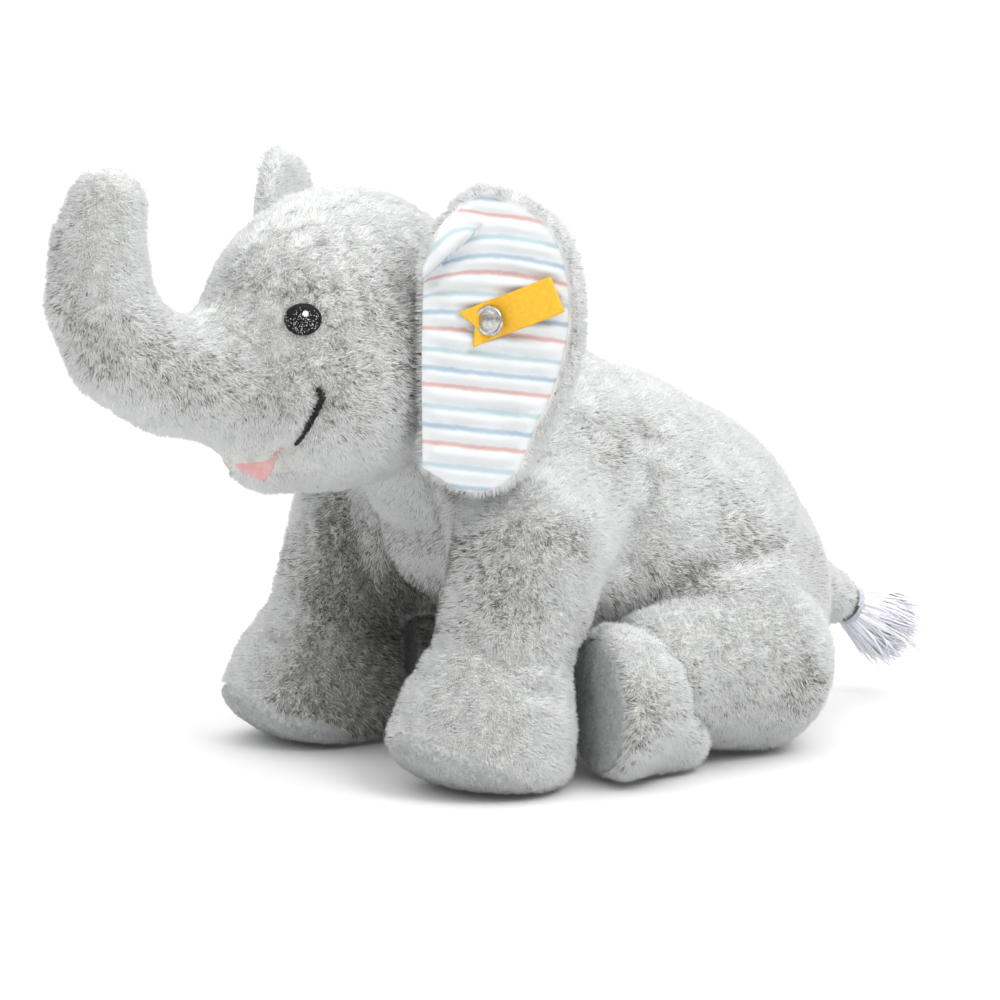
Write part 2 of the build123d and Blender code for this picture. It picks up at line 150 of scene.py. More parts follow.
# Tail
TAIL_END = np.array([0.0, 139.0, 18.5])
TAIL_BALLS = [(0, 11.0), (12, 10.4), (21.5, 9.0)]
TAIL_COVER = 30.0  # the binding is this far from the root
BINDING_R = 6.0
YARNS = 2000

# Ears, as places along the ear and up, and heights in front of its plane
EAR_SWEEP = radians(53.0)
EAR_EDGE = [(-2.5, 139), (2, 150), (13, 160), (29, 155.5), (38, 144), (40.6, 124)]
EAR_EDGE += [(37, 107), (31, 95), (22.5, 83), (11, 79), (-2.5, 86)]
EAR_MIDDLE = np.array([19.0, 118.0])
EAR_RIM_TURNS = [-180, -150, -110, -85, -65, -30, 0, 45, 90, 115, 140, 180]  # degrees round its middle
EAR_RIM_WIDTHS = [0.8, 0.8, 1.0, 1.8, 4.6, 4.6, 4.6, 4.2, 3.6, 2.0, 1.2, 0.8]
FOLD_START = np.array([-1.0, 135.0])
FOLD_WAY = np.array([0.72, 0.694])
FOLD_UP = np.array([-0.694, 0.72])
FOLD_LENGTH = 17.0
FOLD_HEIGHT = 5.6
STRIPE_PITCH, STRIPE_STRETCH = 13.6, 0.30  # from one pink stripe to the next, and how that grows downwards
STRIPE_TOP = 136.8

# Ribbon tag and rivet
TAG_LENGTH, TAG_WIDTH, TAG_BEFORE = 24.0, 9.8, 5.5
TAG_TILT = radians(22.0)
DOME_TILT = radians(24.0)  # the rivet's dome sits a little askew, turned forwards


# ---------------------------------------------------------------- distance fields, in millimetres


def dot(p, way):
    """The sum of the coordinates in p, each times that of way."""
    return p[0] * way[0] + p[1] * way[1] + p[2] * way[2]


def ball(p, centre, radius):
    """Distance to a ball."""
    return np.sqrt(sum((c - m) ** 2 for c, m in zip(p, centre))) - radius


def egg(p, centre, radii):
    """About the distance to an ellipsoid."""
    scaled = np.sqrt(sum(((c - m) / r) ** 2 for c, m, r in zip(p, centre, radii)))
    steep = np.sqrt(sum(((c - m) / r**2) ** 2 for c, m, r in zip(p, centre, radii)))
    return scaled * (scaled - 1) / np.maximum(steep, 1e-6)


def cone(p, a, b, ra, rb):
    """About the distance to the hull of two balls."""
    a, b = np.asarray(a, float), np.asarray(b, float)
    ab = b - a
    along = np.clip((dot(p, ab) - a @ ab) / (ab @ ab), 0, 1)
    gap = np.sqrt(sum((c - a[i] - along * ab[i]) ** 2 for i, c in enumerate(p)))
    return gap - ra - (rb - ra) * along


def chain(p, balls):
    """The hull of each ball with the next one."""
    parts = [cone(p, a, b, ra, rb) for (a, ra), (b, rb) in zip(balls, balls[1:])]
    return np.minimum.reduce(parts)


def on_line(start, way, stations):
    """Balls at distances along a line, as places and radii."""
    return [(start + way * at, radius) for at, radius in stations]


def melt(a, b, soft):
    """The union of two fields with a rounded valley."""
    near = np.maximum(soft - np.abs(a - b), 0) / soft
    return np.minimum(a, b) - near * near * soft / 4


def trim(a, b, soft):
    """What two fields share, with a rounded edge."""
    return -melt(-a, -b, soft)


def step_up(value, low, high):
    """0 below low, 1 above high and smooth between."""
    t = np.clip((value - low) / (high - low), 0, 1)
    return t * t * (3 - 2 * t)


def line_gap(p, points):
    """Distance to a run of straight lines. A point without x is a line seen from the side."""
    gaps = []
    for a, b in zip(points, points[1:]):
        a, b = np.array(a, float), np.array(b, float)
        q = p[3 - len(a) :]
        ab = b - a
        along = sum((c - m) * d for c, m, d in zip(q, a, ab)) / (ab @ ab)
        along = np.clip(along, 0, 1)
        gaps.append(np.sqrt(sum((c - m - along * d) ** 2 for c, m, d in zip(q, a, ab))))
    return np.minimum.reduce(gaps)


def groove(gap, width, depth):
    """How far a seam or crease pulls the cloth in."""
    return depth * np.exp(-((gap / width) ** 2))


def mirrored(p, side):
    """p as seen on the left side."""
    return (p[0] * side, p[1], p[2])


def torso_form(p):
    """The stuffed torso, with its belly and back seams and soft creases on the flanks."""
    x, y, z = p
    form = chain(p, on_line(NECK, TORSO_LINE, TORSO_BALLS))
    elbow = SHOULDER + (FOREFOOT - SHOULDER) * 0.26
    shoulder = cone((np.abs(x), y, z), SHOULDER + (-1, 2, 0), elbow + (-1, 3, 0), 21.0, 19.5)
    form = melt(form, shoulder, 16.0)
    haunch = ball((np.abs(x), y, z), HIP + (-5, -1, 3), 24.0)
    form = melt(form, haunch, 14.0)
    front = 1 / (1 + np.exp((dot((x, y - 20, z - 55), (0, 0.58, 0.81))) / 4))
    form = form + groove(np.abs(x) - BELLY_HALF, 1.3, 1.6) * front
    form = form + groove(np.abs(x), 1.3, 1.3) * (1 - front)
    form = form + groove(line_gap(p, NAPE_CREASE), 4.5, 2.6)
    form = form + groove(line_gap((np.abs(x), y, z), THIGH_CREASE), 2.4, 3.4)
    return trim(form, 0.4 - z, 4.0)


def head_form(p):
    """Head, jaw and trunk as one stuffed form, with the mouth and the smile pulled in."""
    x, y, z = p
    skull = egg(p, HEAD, HEAD_RADII)
    cheek = egg((np.abs(x), y, z), (17, -62, 103), (17, 24, 19))
    skull = melt(skull, cheek, 8.0)
    jaw = cone(p, JAW, (0, -61, 92.5), JAW_R + 0.4, 16.0)
    trunk = chain(p, [(TRUNK_ROOT, 17.0)] + TRUNK_BALLS)
    form = melt(melt(skull, jaw, 5.0), trunk, 13.0)
    form = form + groove(line_gap(p, SMILE + [MOUTH_CORNER]), 2.0, 1.8) * (np.abs(x) > 10)
    form = form + groove(line_gap((np.abs(x), y, z), CHEEK_CREASE), 1.5, 1.2)
    form = form + groove(line_gap((np.abs(x), y, z), CHIN_CREASE), 2.0, 1.2)
    form = form + groove(np.abs(x) - 11.0, 1.2, 0.7) * (z > 120) * (y > -88)
    return form


def foreleg_form(p):
    """The left foreleg, wider below its ankle seam and cut flat at the sole."""
    way = (FOREFOOT - SHOULDER) / np.linalg.norm(FOREFOOT - SHOULDER)
    form = chain(p, on_line(SHOULDER, way, FORELEG_BALLS))
    form = form + groove(line_gap(p, ANKLE), 2.2, 2.6)
    form = trim(form, ball(p, FOREFOOT + way * (FORE_DOME - FORE_DOME_R), FORE_DOME_R), 6.0)
    form = trim(form, FORELEG_INNER - p[0], 5.0)
    return trim(form, 0.4 - p[2], 3.0)


def hind_cut(p):
    """How far p is beyond the left hind foot's sole."""
    return dot(p, HINDSOLE_OUT) - dot(HIND_SOLE, HINDSOLE_OUT)


def in_sole(p, centre, radius):
    """How far p is inside the ball that bounds a sole's patch."""
    return -ball(p, centre, radius)


def hindleg_form(p):
    """The left hind leg: a haunch and knee, with the foot in front as a bulge of its own."""
    thigh = cone(p, HIP, KNEE, 26.5, 18.0)
    thigh = thigh + groove(line_gap(p, KNEE_CREASE), 3.0, 2.6)
    toes = HINDFOOT + (HINDFOOT - HIP) * 0.3
    foot = np.minimum(cone(p, HINDFOOT, HEEL, 21.8, 12.5), cone(p, HINDFOOT, toes, 21.8, 21.8))
    form = melt(thigh, foot, 1.2)
    form = trim(form, hind_cut(p), 5.0)
    return trim(form, 0.4 - p[2], 3.0)


def tail_form(p):
    """The tail's stuffed stub."""
    way = (TAIL_END - TAIL_ROOT) / np.linalg.norm(TAIL_END - TAIL_ROOT)
    return chain(p, on_line(TAIL_ROOT, way, TAIL_BALLS))


# ---------------------------------------------------------------- meshes


def ripple(points, wavelength, seed, waves=7):
    """Smooth noise about zero, a sum of waves in seeded directions."""
    rng = np.random.default_rng(seed)
    total = np.zeros(len(points))
    for _ in range(waves):
        way = rng.normal(size=3)
        way *= tau / wavelength * rng.uniform(0.6, 1.5) / np.linalg.norm(way)
        total += np.sin(points @ way + rng.uniform(0, tau))
    return total / np.sqrt(waves)


def mesh_object(name, points, faces, materials, picks=None, smooth=True):
    """An object from points in millimetres and faces that all have the same number of corners."""
    faces = np.asarray(faces, np.int32)
    mesh = bpy.data.meshes.new(name)
    mesh.vertices.add(len(points))
    mesh.vertices.foreach_set("co", (np.asarray(points) * MM).astype(np.float32).ravel())
    mesh.loops.add(faces.size)
    mesh.loops.foreach_set("vertex_index", faces.ravel())
    mesh.polygons.add(len(faces))
    mesh.polygons.foreach_set("loop_start", np.arange(0, faces.size, faces.shape[1], dtype=np.int32))
    if picks is not None:
        mesh.polygons.foreach_set("material_index", np.asarray(picks, np.int32))
    mesh.polygons.foreach_set("use_smooth", np.full(len(faces), smooth))
    mesh.update(calc_edges=True)
    for material in materials:
        mesh.materials.append(material)
    thing = bpy.data.objects.new(name, mesh)
    bpy.context.scene.collection.objects.link(thing)
    return thing


def polygonise(form, low, high, step):
    """Points and four-cornered faces, facing out, where a field is zero inside a box."""
    axes = [np.arange(a, b + step, step, dtype=np.float32) for a, b in zip(low, high)]
    grid = (axes[0][:, None, None], axes[1][None, :, None], axes[2][None, None, :])
    values = np.broadcast_to(form(grid), [len(a) for a in axes]).astype(np.float32)
    volume = openvdb.FloatGrid(5.0)
    volume.copyFromArray(np.ascontiguousarray(values))
    points, quads = volume.convertToQuads(0.0)
    points = np.asarray(points, float) * step + np.array(low)
    quads = np.asarray(quads, np.int32)
    a, b, c = (points[quads[:, i]] for i in range(3))
    if np.einsum("ij,ij->", a, np.cross(b, c)) < 0:
        quads = quads[:, ::-1]
    return points, quads


def normals_of(points, faces):
    """A unit normal at each point of a mesh."""
    spread = np.zeros_like(points)
    across = np.cross(points[faces[:, 2]] - points[faces[:, 0]], points[faces[:, 3]] - points[faces[:, 1]])
    for corner in range(4):
        np.add.at(spread, faces[:, corner], across)
    return spread / np.maximum(np.linalg.norm(spread, axis=1, keepdims=True), 1e-9)


def scatter(points, faces, density, seed):
    """Random places on a mesh, with their normals, by area."""
    rng = np.random.default_rng(seed)
    normals = normals_of(points, faces)
    triangles = np.concatenate([faces[:, [0, 1, 2]], faces[:, [0, 2, 3]]])
    a, b, c = (points[triangles[:, i]] for i in range(3))
    area = np.linalg.norm(np.cross(b - a, c - a), axis=1) / 2
    count = int(area.sum() * density)
    pick = np.searchsorted(np.cumsum(area) / area.sum(), rng.random(count))
    pick = np.minimum(pick, len(triangles) - 1)
    u, v = rng.random((2, count, 1))
    flip = u + v > 1
    u, v = np.where(flip, 1 - u, u), np.where(flip, 1 - v, v)
    places = a[pick] * (1 - u - v) + b[pick] * u + c[pick] * v
    n = [normals[triangles[pick, i]] for i in range(3)]
    ways = n[0] * (1 - u - v) + n[1] * u + n[2] * v
    return places, ways / np.linalg.norm(ways, axis=1, keepdims=True)


def unit(vectors):
    """Vectors of length one."""
    return vectors / np.maximum(np.linalg.norm(vectors, axis=-1, keepdims=True), 1e-9)


def columns(points):
    """An array of points as separate coordinates, as the fields take them."""
    return (points[:, 0], points[:, 1], points[:, 2])


# ---------------------------------------------------------------- materials


def add_node(tree, kind, **values):
    """A shader node of a kind, with values on its sockets. An underscore stands for a space."""
    node = tree.nodes.new("ShaderNode" + kind)
    for socket, value in values.items():
        node.inputs[socket.replace("_", " ")].default_value = value
    return node


def add_math(tree, operation, source, value):
    """A number worked out from an output and a value."""
    node = tree.nodes.new("ShaderNodeMath")
    node.operation = operation
    node.inputs[1].default_value = value
    tree.links.new(source, node.inputs[0])
    return node


def plain_material(name, colour, rough=0.8, sheen=0.0, metal=0.0):
    """A material with its values on the shader's own sockets."""
    material = bpy.data.materials.new(name)
    material.use_nodes = True
    shader = material.node_tree.nodes["Principled BSDF"]
    shader.inputs["Base Color"].default_value = (*colour, 1)
    shader.inputs["Roughness"].default_value = rough
    shader.inputs["Metallic"].default_value = metal
    shader.inputs["Sheen Weight"].default_value = sheen
    shader.inputs["Sheen Roughness"].default_value = 0.4
    return material


def add_grain(tree, place, scale, detail, strength, distance):
    """A fine grain as bump, from noise at a material's object coordinates."""
    fine = add_node(tree, "TexNoise", Scale=scale, Detail=detail)
    bumps = add_node(tree, "Bump", Strength=strength, Distance=distance)
    tree.links.new(place.outputs["Object"], fine.inputs["Vector"])
    tree.links.new(fine.outputs["Fac"], bumps.inputs["Height"])
    tree.links.new(bumps.outputs["Normal"], tree.nodes["Principled BSDF"].inputs["Normal"])


def mottled_material(name, dark, pale, scale, rough=0.85, sheen=0.3, bump=0.2, grain=1500.0):
    """A cloth material: noise between two colours, with a fine grain as bump."""
    material = plain_material(name, pale, rough, sheen)
    tree = material.node_tree
    place = add_node(tree, "TexCoord")
    noise = add_node(tree, "TexNoise", Scale=scale, Detail=6)
    ramp = add_node(tree, "ValToRGB")
    for stop, at, colour in zip(ramp.color_ramp.elements, (0.32, 0.66), (dark, pale)):
        stop.position = at
        stop.color = (*colour, 1)
    tree.links.new(place.outputs["Object"], noise.inputs["Vector"])
    tree.links.new(noise.outputs["Fac"], ramp.inputs["Fac"])
    tree.links.new(ramp.outputs["Color"], tree.nodes["Principled BSDF"].inputs["Base Color"])
    add_grain(tree, place, grain, 3, bump, 0.0004)
    return material


PILE_TINTS = [
    plain_material("pile_pale", (0.95, 0.96, 0.96), sheen=0.5),
    plain_material("pile_light", (0.88, 0.89, 0.89), sheen=0.4),
    plain_material("pile_grey", (0.46, 0.46, 0.43), sheen=0.1),
    plain_material("pile_dark", (0.17, 0.165, 0.135), sheen=0.0),
]
BACKING = mottled_material("backing_cloth", (0.44, 0.44, 0.41), (0.64, 0.64, 0.62), 240)
PALE_BACKING = mottled_material("pale_backing_cloth", (0.60, 0.60, 0.58), (0.76, 0.76, 0.75), 240)


# ---------------------------------------------------------------- pile


def strand_mesh(name, roots, ways, lengths, widths, tints, materials):
    """Three-sided strands that end in a point."""
    count = len(roots)
    side = unit(np.cross(ways, np.array([0.31, 0.53, 0.79])))
    up = np.cross(ways, side)
    turn = np.random.default_rng(5).random(count) * tau
    points = np.empty((count, 4, 3))
    for corner in range(3):
        angle = turn + corner * tau / 3
        ring = side * np.cos(angle)[:, None] + up * np.sin(angle)[:, None]
        points[:, corner] = roots + ring * widths[:, None] / 2
    points[:, 3] = roots + ways * lengths[:, None]
    first = np.arange(count)[:, None, None] * 4
    faces = first + np.array([[0, 1, 3], [1, 2, 3], [2, 0, 3]])[None]
    return mesh_object(name, points.reshape(-1, 3), faces.reshape(-1, 3), materials, np.repeat(tints, 3))


def combed(roots, normals, nap, lean, seed, clump, cell):
    """Strand directions: leaning with the nap, wavering, and drawn together in small tufts."""
    rng = np.random.default_rng(seed)
    along = unit(nap - normals * np.einsum("ij,ij->i", nap, normals)[:, None])
    across = np.cross(normals, along)
    waver = 0.6 * ripple(roots, 9.0, seed + 1) + 0.6 * ripple(roots, 3.0, seed + 2)
    waver = waver + rng.normal(0, 0.5, len(roots))
    along = along * np.cos(waver)[:, None] + across * np.sin(waver)[:, None]
    tilt = lean + 0.2 * ripple(roots, 4.0, seed + 3) + rng.normal(0, 0.16, len(roots))
    tilt = np.clip(tilt, 0.05, 1.25)
    ways = normals * np.cos(tilt)[:, None] + along * np.sin(tilt)[:, None]
    tips = roots + ways * PILE
    key = np.floor((roots + rng.normal(0, cell * 0.22, roots.shape)) / cell).astype(np.int64)
    code = key @ np.array([1, 5003, 25030009])
    _, group = np.unique(code, return_inverse=True)
    size = np.bincount(group)
    middle = np.stack([np.bincount(group, tips[:, i]) / size for i in range(3)], 1)[group]
    return unit(ways * PILE + (middle - tips) * np.broadcast_to(clump, len(roots))[:, None])


def tint_of(roots, seed, dark):
    """Which of the four tints each strand has: patches and single dark hairs."""
    rng = np.random.default_rng(seed)
    value = rng.random(len(roots)) + 0.16 * ripple(roots, 3.0, seed + 7)
    value = (value + 0.2) / 1.4
    return 3 - (value > dark * 0.5) * 1 - (value > dark) * 1 - (value > 0.45 + dark * 0.5) * 1


def speckle_and_side_shade(roots, normals, seed, most=0.48, least=0.03):
    """The share of dark strands: few on top and underneath, and more in patches on the sides. The single
    dark hairs and the patches are the plush's own; that the sides get more of them than the lit top is
    painted shade.
    """
    # painted shade: surfaces that face sideways get more dark strands than the top, which faces the light
    side_shade = (1 - step_up(normals[:, 2], 0.25, 0.8)) * step_up(normals[:, 2], -0.9, -0.3)
    patches = np.clip(0.55 + 0.5 * ripple(roots, 30.0, seed), 0, 1)
    return least + (most - least) * side_shade * patches


def pile(name, places, normals, nap, seed, length=PILE, lean=0.42, dark=None, place=None):
    """Pile over a surface, as meshes of up to PIECE_STRANDS strands, each put on its body by place."""
    rng = np.random.default_rng(seed)
    flat = 0.45 * step_up(normals[:, 2], 0.2, 0.85)
    ways = combed(places, normals, nap, lean + flat, seed, CLUMP - 0.6 * flat, CLUMP_CELL)
    if dark is None:
        dark = speckle_and_side_shade(places, normals, seed + 9)
    tints = tint_of(places, seed, dark)
    lengths = np.broadcast_to(length, len(places)) * rng.uniform(0.80, 1.12, len(places))
    lengths = np.where(tints >= 2, lengths * 0.85, lengths)
    widths = np.full(len(places), STRAND_WIDTH)
    roots = places - normals * ROOT_DEPTH
    tips = roots[:, 2] + ways[:, 2] * lengths
    order = np.flatnonzero(tips > LOWEST)
    order = order[np.argsort(places[order, 1], kind="stable")]
    parts = np.array_split(order, int(np.ceil(len(order) / PIECE_STRANDS)))
    for number, part in enumerate(parts, 1):
        picked = (values[part] for values in (roots, ways, lengths, widths, tints))
        place(strand_mesh(f"{name}_{number}", *picked, PILE_TINTS))


# ---------------------------------------------------------------- bodies


def settle(thing, slot, body, *nodes):
    """Puts a piece on its body and hides the CAD nodes that it replaces. The slot is not used."""
    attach(thing, body)
    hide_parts(*nodes)


def skin(name, form, low, high, step=SKIN_STEP):
    """The cloth under the pile: points and faces, and the object."""
    points, faces = polygonise(lambda p: form(p) + SKIN_INSET, low, high, step)
    thing = mesh_object(name, points, faces, [BACKING])
    return points, faces, thing


def hidden_by(places, forms, depth):
    """True where a place lies deeper than depth inside one of the forms."""
    p = columns(places)
    return np.logical_or.reduce([form(p) + SKIN_INSET < -depth for form in forms])


def on_left(form, side):
    """A left limb's form on either side."""
    return lambda p: form(mirrored(p, side))


SOLES = {"foreleg": (FORE_SOLE, FORE_SOLE_R), "hindleg": (HIND_SOLE, HIND_SOLE_R)}
LIMBS = {  # each form, with the low and high corner of the box that holds it
    "foreleg": (foreleg_form, (12, -68, -3), (72, 8, 90)),
    "hindleg": (hindleg_form, (4, -10, -3), (80, 84, 58)),
}
TORSO_BOX = ((-54, -64, -3), (54, 98, 128))
HEAD_BOX = ((-40, -146, 70), (40, -6, 172))
TAIL_BOX = ((-13, 76, 8), (13, 134, 54))
EAR_BOX = ((-7, -8, 72), (50, 12, 168))
LEG_NAPS = {"foreleg": (0.1, -0.2, -0.95), "hindleg": (0.35, -0.6, -0.5)}


def ride(body):
    """A placer that puts a piece of the plush on a body."""

    def put(thing):
        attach(thing, body)

    return put


def follow_trunk(thing):
    """Bakes the transform of a piece of the head and trunk into its mesh."""
    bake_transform(thing)


def nap_field(places, way):
    """The same nap everywhere."""
    return np.broadcast_to(np.array(way, float), places.shape)


def make_torso():
    """Skin and pile of the torso."""
    points, faces, thing = skin("torso_cloth", torso_form, *TORSO_BOX)
    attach(thing, "torso")
    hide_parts(*(n for n in frame["nodes"] if frame["nodes"][n]["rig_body"] == "torso"))
    places, normals = scatter(points, faces, DENSITY, 11)
    legs = [on_left(LIMBS[kind][0], side) for kind in LIMBS for side in SIDES.values()]
    keep = ~hidden_by(places, legs + [head_form, tail_form], 3.0) & (places[:, 2] > 1.2)
    places, normals = places[keep], normals[keep]
    x, y, z = columns(places)
    crease = line_gap((np.abs(x), y, z), THIGH_CREASE)
    # painted shade: more dark strands along the thigh crease
    dark = speckle_and_side_shade(places, normals, 21) + 0.45 * np.exp(-((crease / 3.2) ** 2))
    # painted shade: many more dark strands on the chest and belly between the forelegs
    between = (1 - step_up(np.abs(x), 22, 30)) * (1 - step_up(z, 42, 54)) * (1 - step_up(y, 20, 40))
    dark = dark + 0.9 * between
    nap = nap_field(places, (0, 0.75, -0.65))
    pile("torso_pile", places, normals, nap, 12, dark=dark, place=ride("torso"))


def mouth_floor(turn):
    """The lower edge of the mouth's patch below the middle of the jaw, by degrees round the jaw."""
    beside = np.maximum(np.abs(turn) - MOUTH_DEEPEST, 0) / 19
    ahead = np.maximum(MOUTH_DEEPEST - np.abs(turn), 0) / MOUTH_DEEPEST
    return np.minimum(-9.3 + 6.5 * beside**2.2 + 4.8 * ahead**1.5, 0)


def in_mouth(places):
    """True where a place on the jaw belongs to the mouth's bare lining."""
    x, y, z = (places - JAW).T
    turn = np.degrees(np.arctan2(x, -y))
    near = np.linalg.norm(places - JAW, axis=1) < 16.5
    return near & (np.abs(turn) < 70) & (z > mouth_floor(turn) + 0.3) & (z < MOUTH_TOP)


def make_head():
    """Skin and pile of the head and trunk, which are one run of cloth."""
    points, faces, thing = skin("head_and_trunk_cloth", head_form, *HEAD_BOX)
    follow_trunk(thing)
    stands_for = [n for n in frame["nodes"] if n.startswith(("head_", "trunk_", "chin_"))]
    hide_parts(*stands_for)
    places, normals = scatter(points, faces, DENSITY, 21)
    keep = ~hidden_by(places, [torso_form], 4.0)
    for side in SIDES.values():
        eye_gap = np.linalg.norm(places - EYE * (side, 1, 1), axis=1)
        keep &= eye_gap > EYE_R - 0.4
    keep &= (line_gap(columns(places), SMILE) > 0.8) | (np.abs(places[:, 0]) < 15)
    keep &= ~in_mouth(places)
    places, normals = places[keep], normals[keep]
    nap = nap_field(places, (0, 0.75, -0.55)) + np.sign(places[:, :1]) * (0.25, 0, 0)
    ahead = np.clip((-places[:, 1] - 84) / 20, 0, 1)[:, None]
    nap = nap * (1 - ahead) + np.array([0.0, 0.25, -0.9]) * ahead
    eye_gap = np.linalg.norm(np.abs(places * (1, 0, 0)) + places * (0, 1, 1) - EYE, axis=1)
    length = PILE * (0.95 - 0.45 * np.exp(-((eye_gap / 8.0) ** 2)))
    lip = step_up(np.linalg.norm(places - JAW, axis=1), 15, 24) + (places[:, 2] < 84)
    length = length * np.clip(0.45 + lip, 0, 1)
    brow = np.abs(places) - EYE - (-1.0, 1.0, 6.5)
    brow[:, 1] = places[:, 1] - EYE[1] - 1.0
    dark = speckle_and_side_shade(places, normals, 31) + 0.5 * np.exp(-(brow[:, 2] / 2.2) ** 2 - (brow[:, 1] / 5.5) ** 2)
    pile("head_pile", places, normals, nap, 22, length=length, lean=0.5, dark=dark, place=follow_trunk)


def leg_piece(name, body, side, points, faces, material):
    """A left leg's mesh on either side, as a stuffed piece of that leg."""
    sided = faces if side > 0 else faces[:, ::-1]
    thing = mesh_object(name, points * (side, 1, 1), sided, [material])
    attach(thing, body)
    return thing


def make_limbs():
    """Skins and piles of the four legs."""
    for kind, (form, low, high) in LIMBS.items():
        points, faces = polygonise(lambda p: form(p) + SKIN_INSET, low, high, SKIN_STEP)
        places, normals = scatter(points, faces, DENSITY, 31)
        for word, side in SIDES.items():
            body = f"{kind}_{word}"
            flip = np.array([side, 1, 1])
            thing = leg_piece(f"{body}_cloth", body, side, points, faces, BACKING)
            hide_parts(f"{body}_outer", f"{body}_inner", f"{body}_filling")
            keep = ~hidden_by(places * flip, [torso_form], 4.0) & (places[:, 2] > 1.0)
            keep &= in_sole(columns(places), *SOLES[kind]) < -0.4
            at, up = places[keep] * flip, normals[keep] * flip
            nap = nap_field(at, LEG_NAPS[kind]) * flip
            dark = speckle_and_side_shade(at, up, 35)
            if kind == "foreleg":
                seam = np.interp(at[:, 1], *zip(*CUFF_EDGE))
                dark = dark * (0.12 + 1.1 * step_up(at[:, 2] - seam, -0.8, 1.2))
            # painted shade: more dark strands on the faces of each leg that turn inwards, towards the other
            # legs
            dark = dark + 0.7 * step_up(-up[:, 0] * side, 0.15, 0.75)
            pile(f"{body}_pile", at, up, nap, 32 + int(side), dark=dark, place=ride(body))


def make_tail():
    """Skin and pile of the tail's stub."""
    points, faces, thing = skin("tail_cloth", tail_form, *TAIL_BOX, 1.0)
    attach(thing, "tail")
    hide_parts("tail_cover", "tail_filling")
    places, normals = scatter(points, faces, DENSITY, 41)
    keep = ~hidden_by(places, [torso_form], 4.0)
    places, normals = places[keep], normals[keep]
    pile("tail_pile", places, normals, nap_field(places, (0, 0.8, -0.4)), 42, place=ride("tail"))


# ---------------------------------------------------------------- small shapes


def tube(points, radii, corners):
    """A round tube through points."""
    points = np.asarray(points, float)
    ways = unit(np.gradient(points, axis=0))
    side = unit(np.cross(ways, np.array([0.37, 0.21, 0.91])))
    up = np.cross(ways, side)
    angle = np.arange(corners) * tau / corners
    ring = side[:, None] * np.cos(angle)[None, :, None] + up[:, None] * np.sin(angle)[None, :, None]
    verts = (points[:, None] + ring * np.broadcast_to(radii, len(points))[:, None, None]).reshape(-1, 3)
    return verts, lattice_faces(len(points), corners, True)


def lattice_faces(rows, cols, closed):
    """Four-cornered faces over rows of points. Closed rows run round."""
    row = np.arange(rows - 1)[:, None] * cols
    col = np.arange(cols if closed else cols - 1)[None]
    after = (col + 1) % cols
    faces = np.stack([row + col, row + after, row + cols + after, row + cols + col], -1)
    return faces.reshape(-1, 4)


def joined(shapes):
    """Several shapes' points and faces as one."""
    points, faces, first = [], [], 0
    for verts, polys in shapes:
        points.append(verts)
        faces.append(polys + first)
        first += len(verts)
    return np.concatenate(points), np.concatenate(faces)


def lathe(profile, place, way, corners=48):
    """A profile of radii and heights turned about a line."""
    way = unit(np.asarray(way, float))
    side = unit(np.cross(way, np.array([0.12, 0.34, 0.93])))
    up = np.cross(way, side)
    angle = np.arange(corners) * tau / corners
    rows = []
    for radius, height in profile:
        ring = side * np.cos(angle)[:, None] + up * np.sin(angle)[:, None]
        rows.append(place + way * height + ring * max(radius, 0.005))
    return np.concatenate(rows), lattice_faces(len(profile), corners, True)


def thick_sheet(grid, thickness):
    """A closed sheet from a grid of points: the grid, a copy of it behind, and the edges."""
    rows, cols = grid.shape[:2]
    along, across = np.gradient(grid, axis=0), np.gradient(grid, axis=1)
    normal = unit(np.cross(along, across))
    front = (grid + normal * thickness / 2).reshape(-1, 3)
    back = (grid - normal * thickness / 2).reshape(-1, 3)
    faces = lattice_faces(rows, cols, False)
    index = np.arange(rows * cols).reshape(rows, cols)
    edge = np.concatenate([index[0, :-1], index[:-1, -1], index[-1, :0:-1], index[:0:-1, 0]])
    after = np.roll(edge, -1)
    shift = rows * cols
    wall = np.stack([edge, edge + shift, after + shift, after], 1)
    return np.concatenate([front, back]), np.concatenate([faces, faces[:, ::-1] + shift, wall])


def surface_x(form, y, z, level, side):
    """The outermost x at which a form has the given level, on one side."""
    x = np.linspace(48, 2, 400)
    values = form((x * side, np.full(400, y), np.full(400, z)))
    inside = np.flatnonzero(values < level)
    return side * x[inside[0]]


def gradient(form, place, step=0.4):
    """The outward direction of a form at a place."""
    way = np.zeros(3)
    for axis in range(3):
        shift = np.zeros(3)
        shift[axis] = step
        way[axis] = form(tuple((place + shift)[:, None]))[0] - form(tuple((place - shift)[:, None]))[0]
    return unit(way)


# ---------------------------------------------------------------- ears


def smooth_curve(points, steps=12):
    """A curve through points."""
    points = np.array(points, float)
    ends = np.concatenate([[2 * points[0] - points[1]], points, [2 * points[-1] - points[-2]]])
    out = []
    for a, b, c, d in zip(ends, ends[1:], ends[2:], ends[3:]):
        for t in np.arange(steps) / steps:
            square, cube = 2 * a - 5 * b + 4 * c - d, 3 * b - a - 3 * c + d
            out.append(0.5 * (2 * b + (c - a) * t + square * t**2 + cube * t**3))
    out.append(points[-1])
    return np.array(out)


EAR_CURVE = smooth_curve(EAR_EDGE)


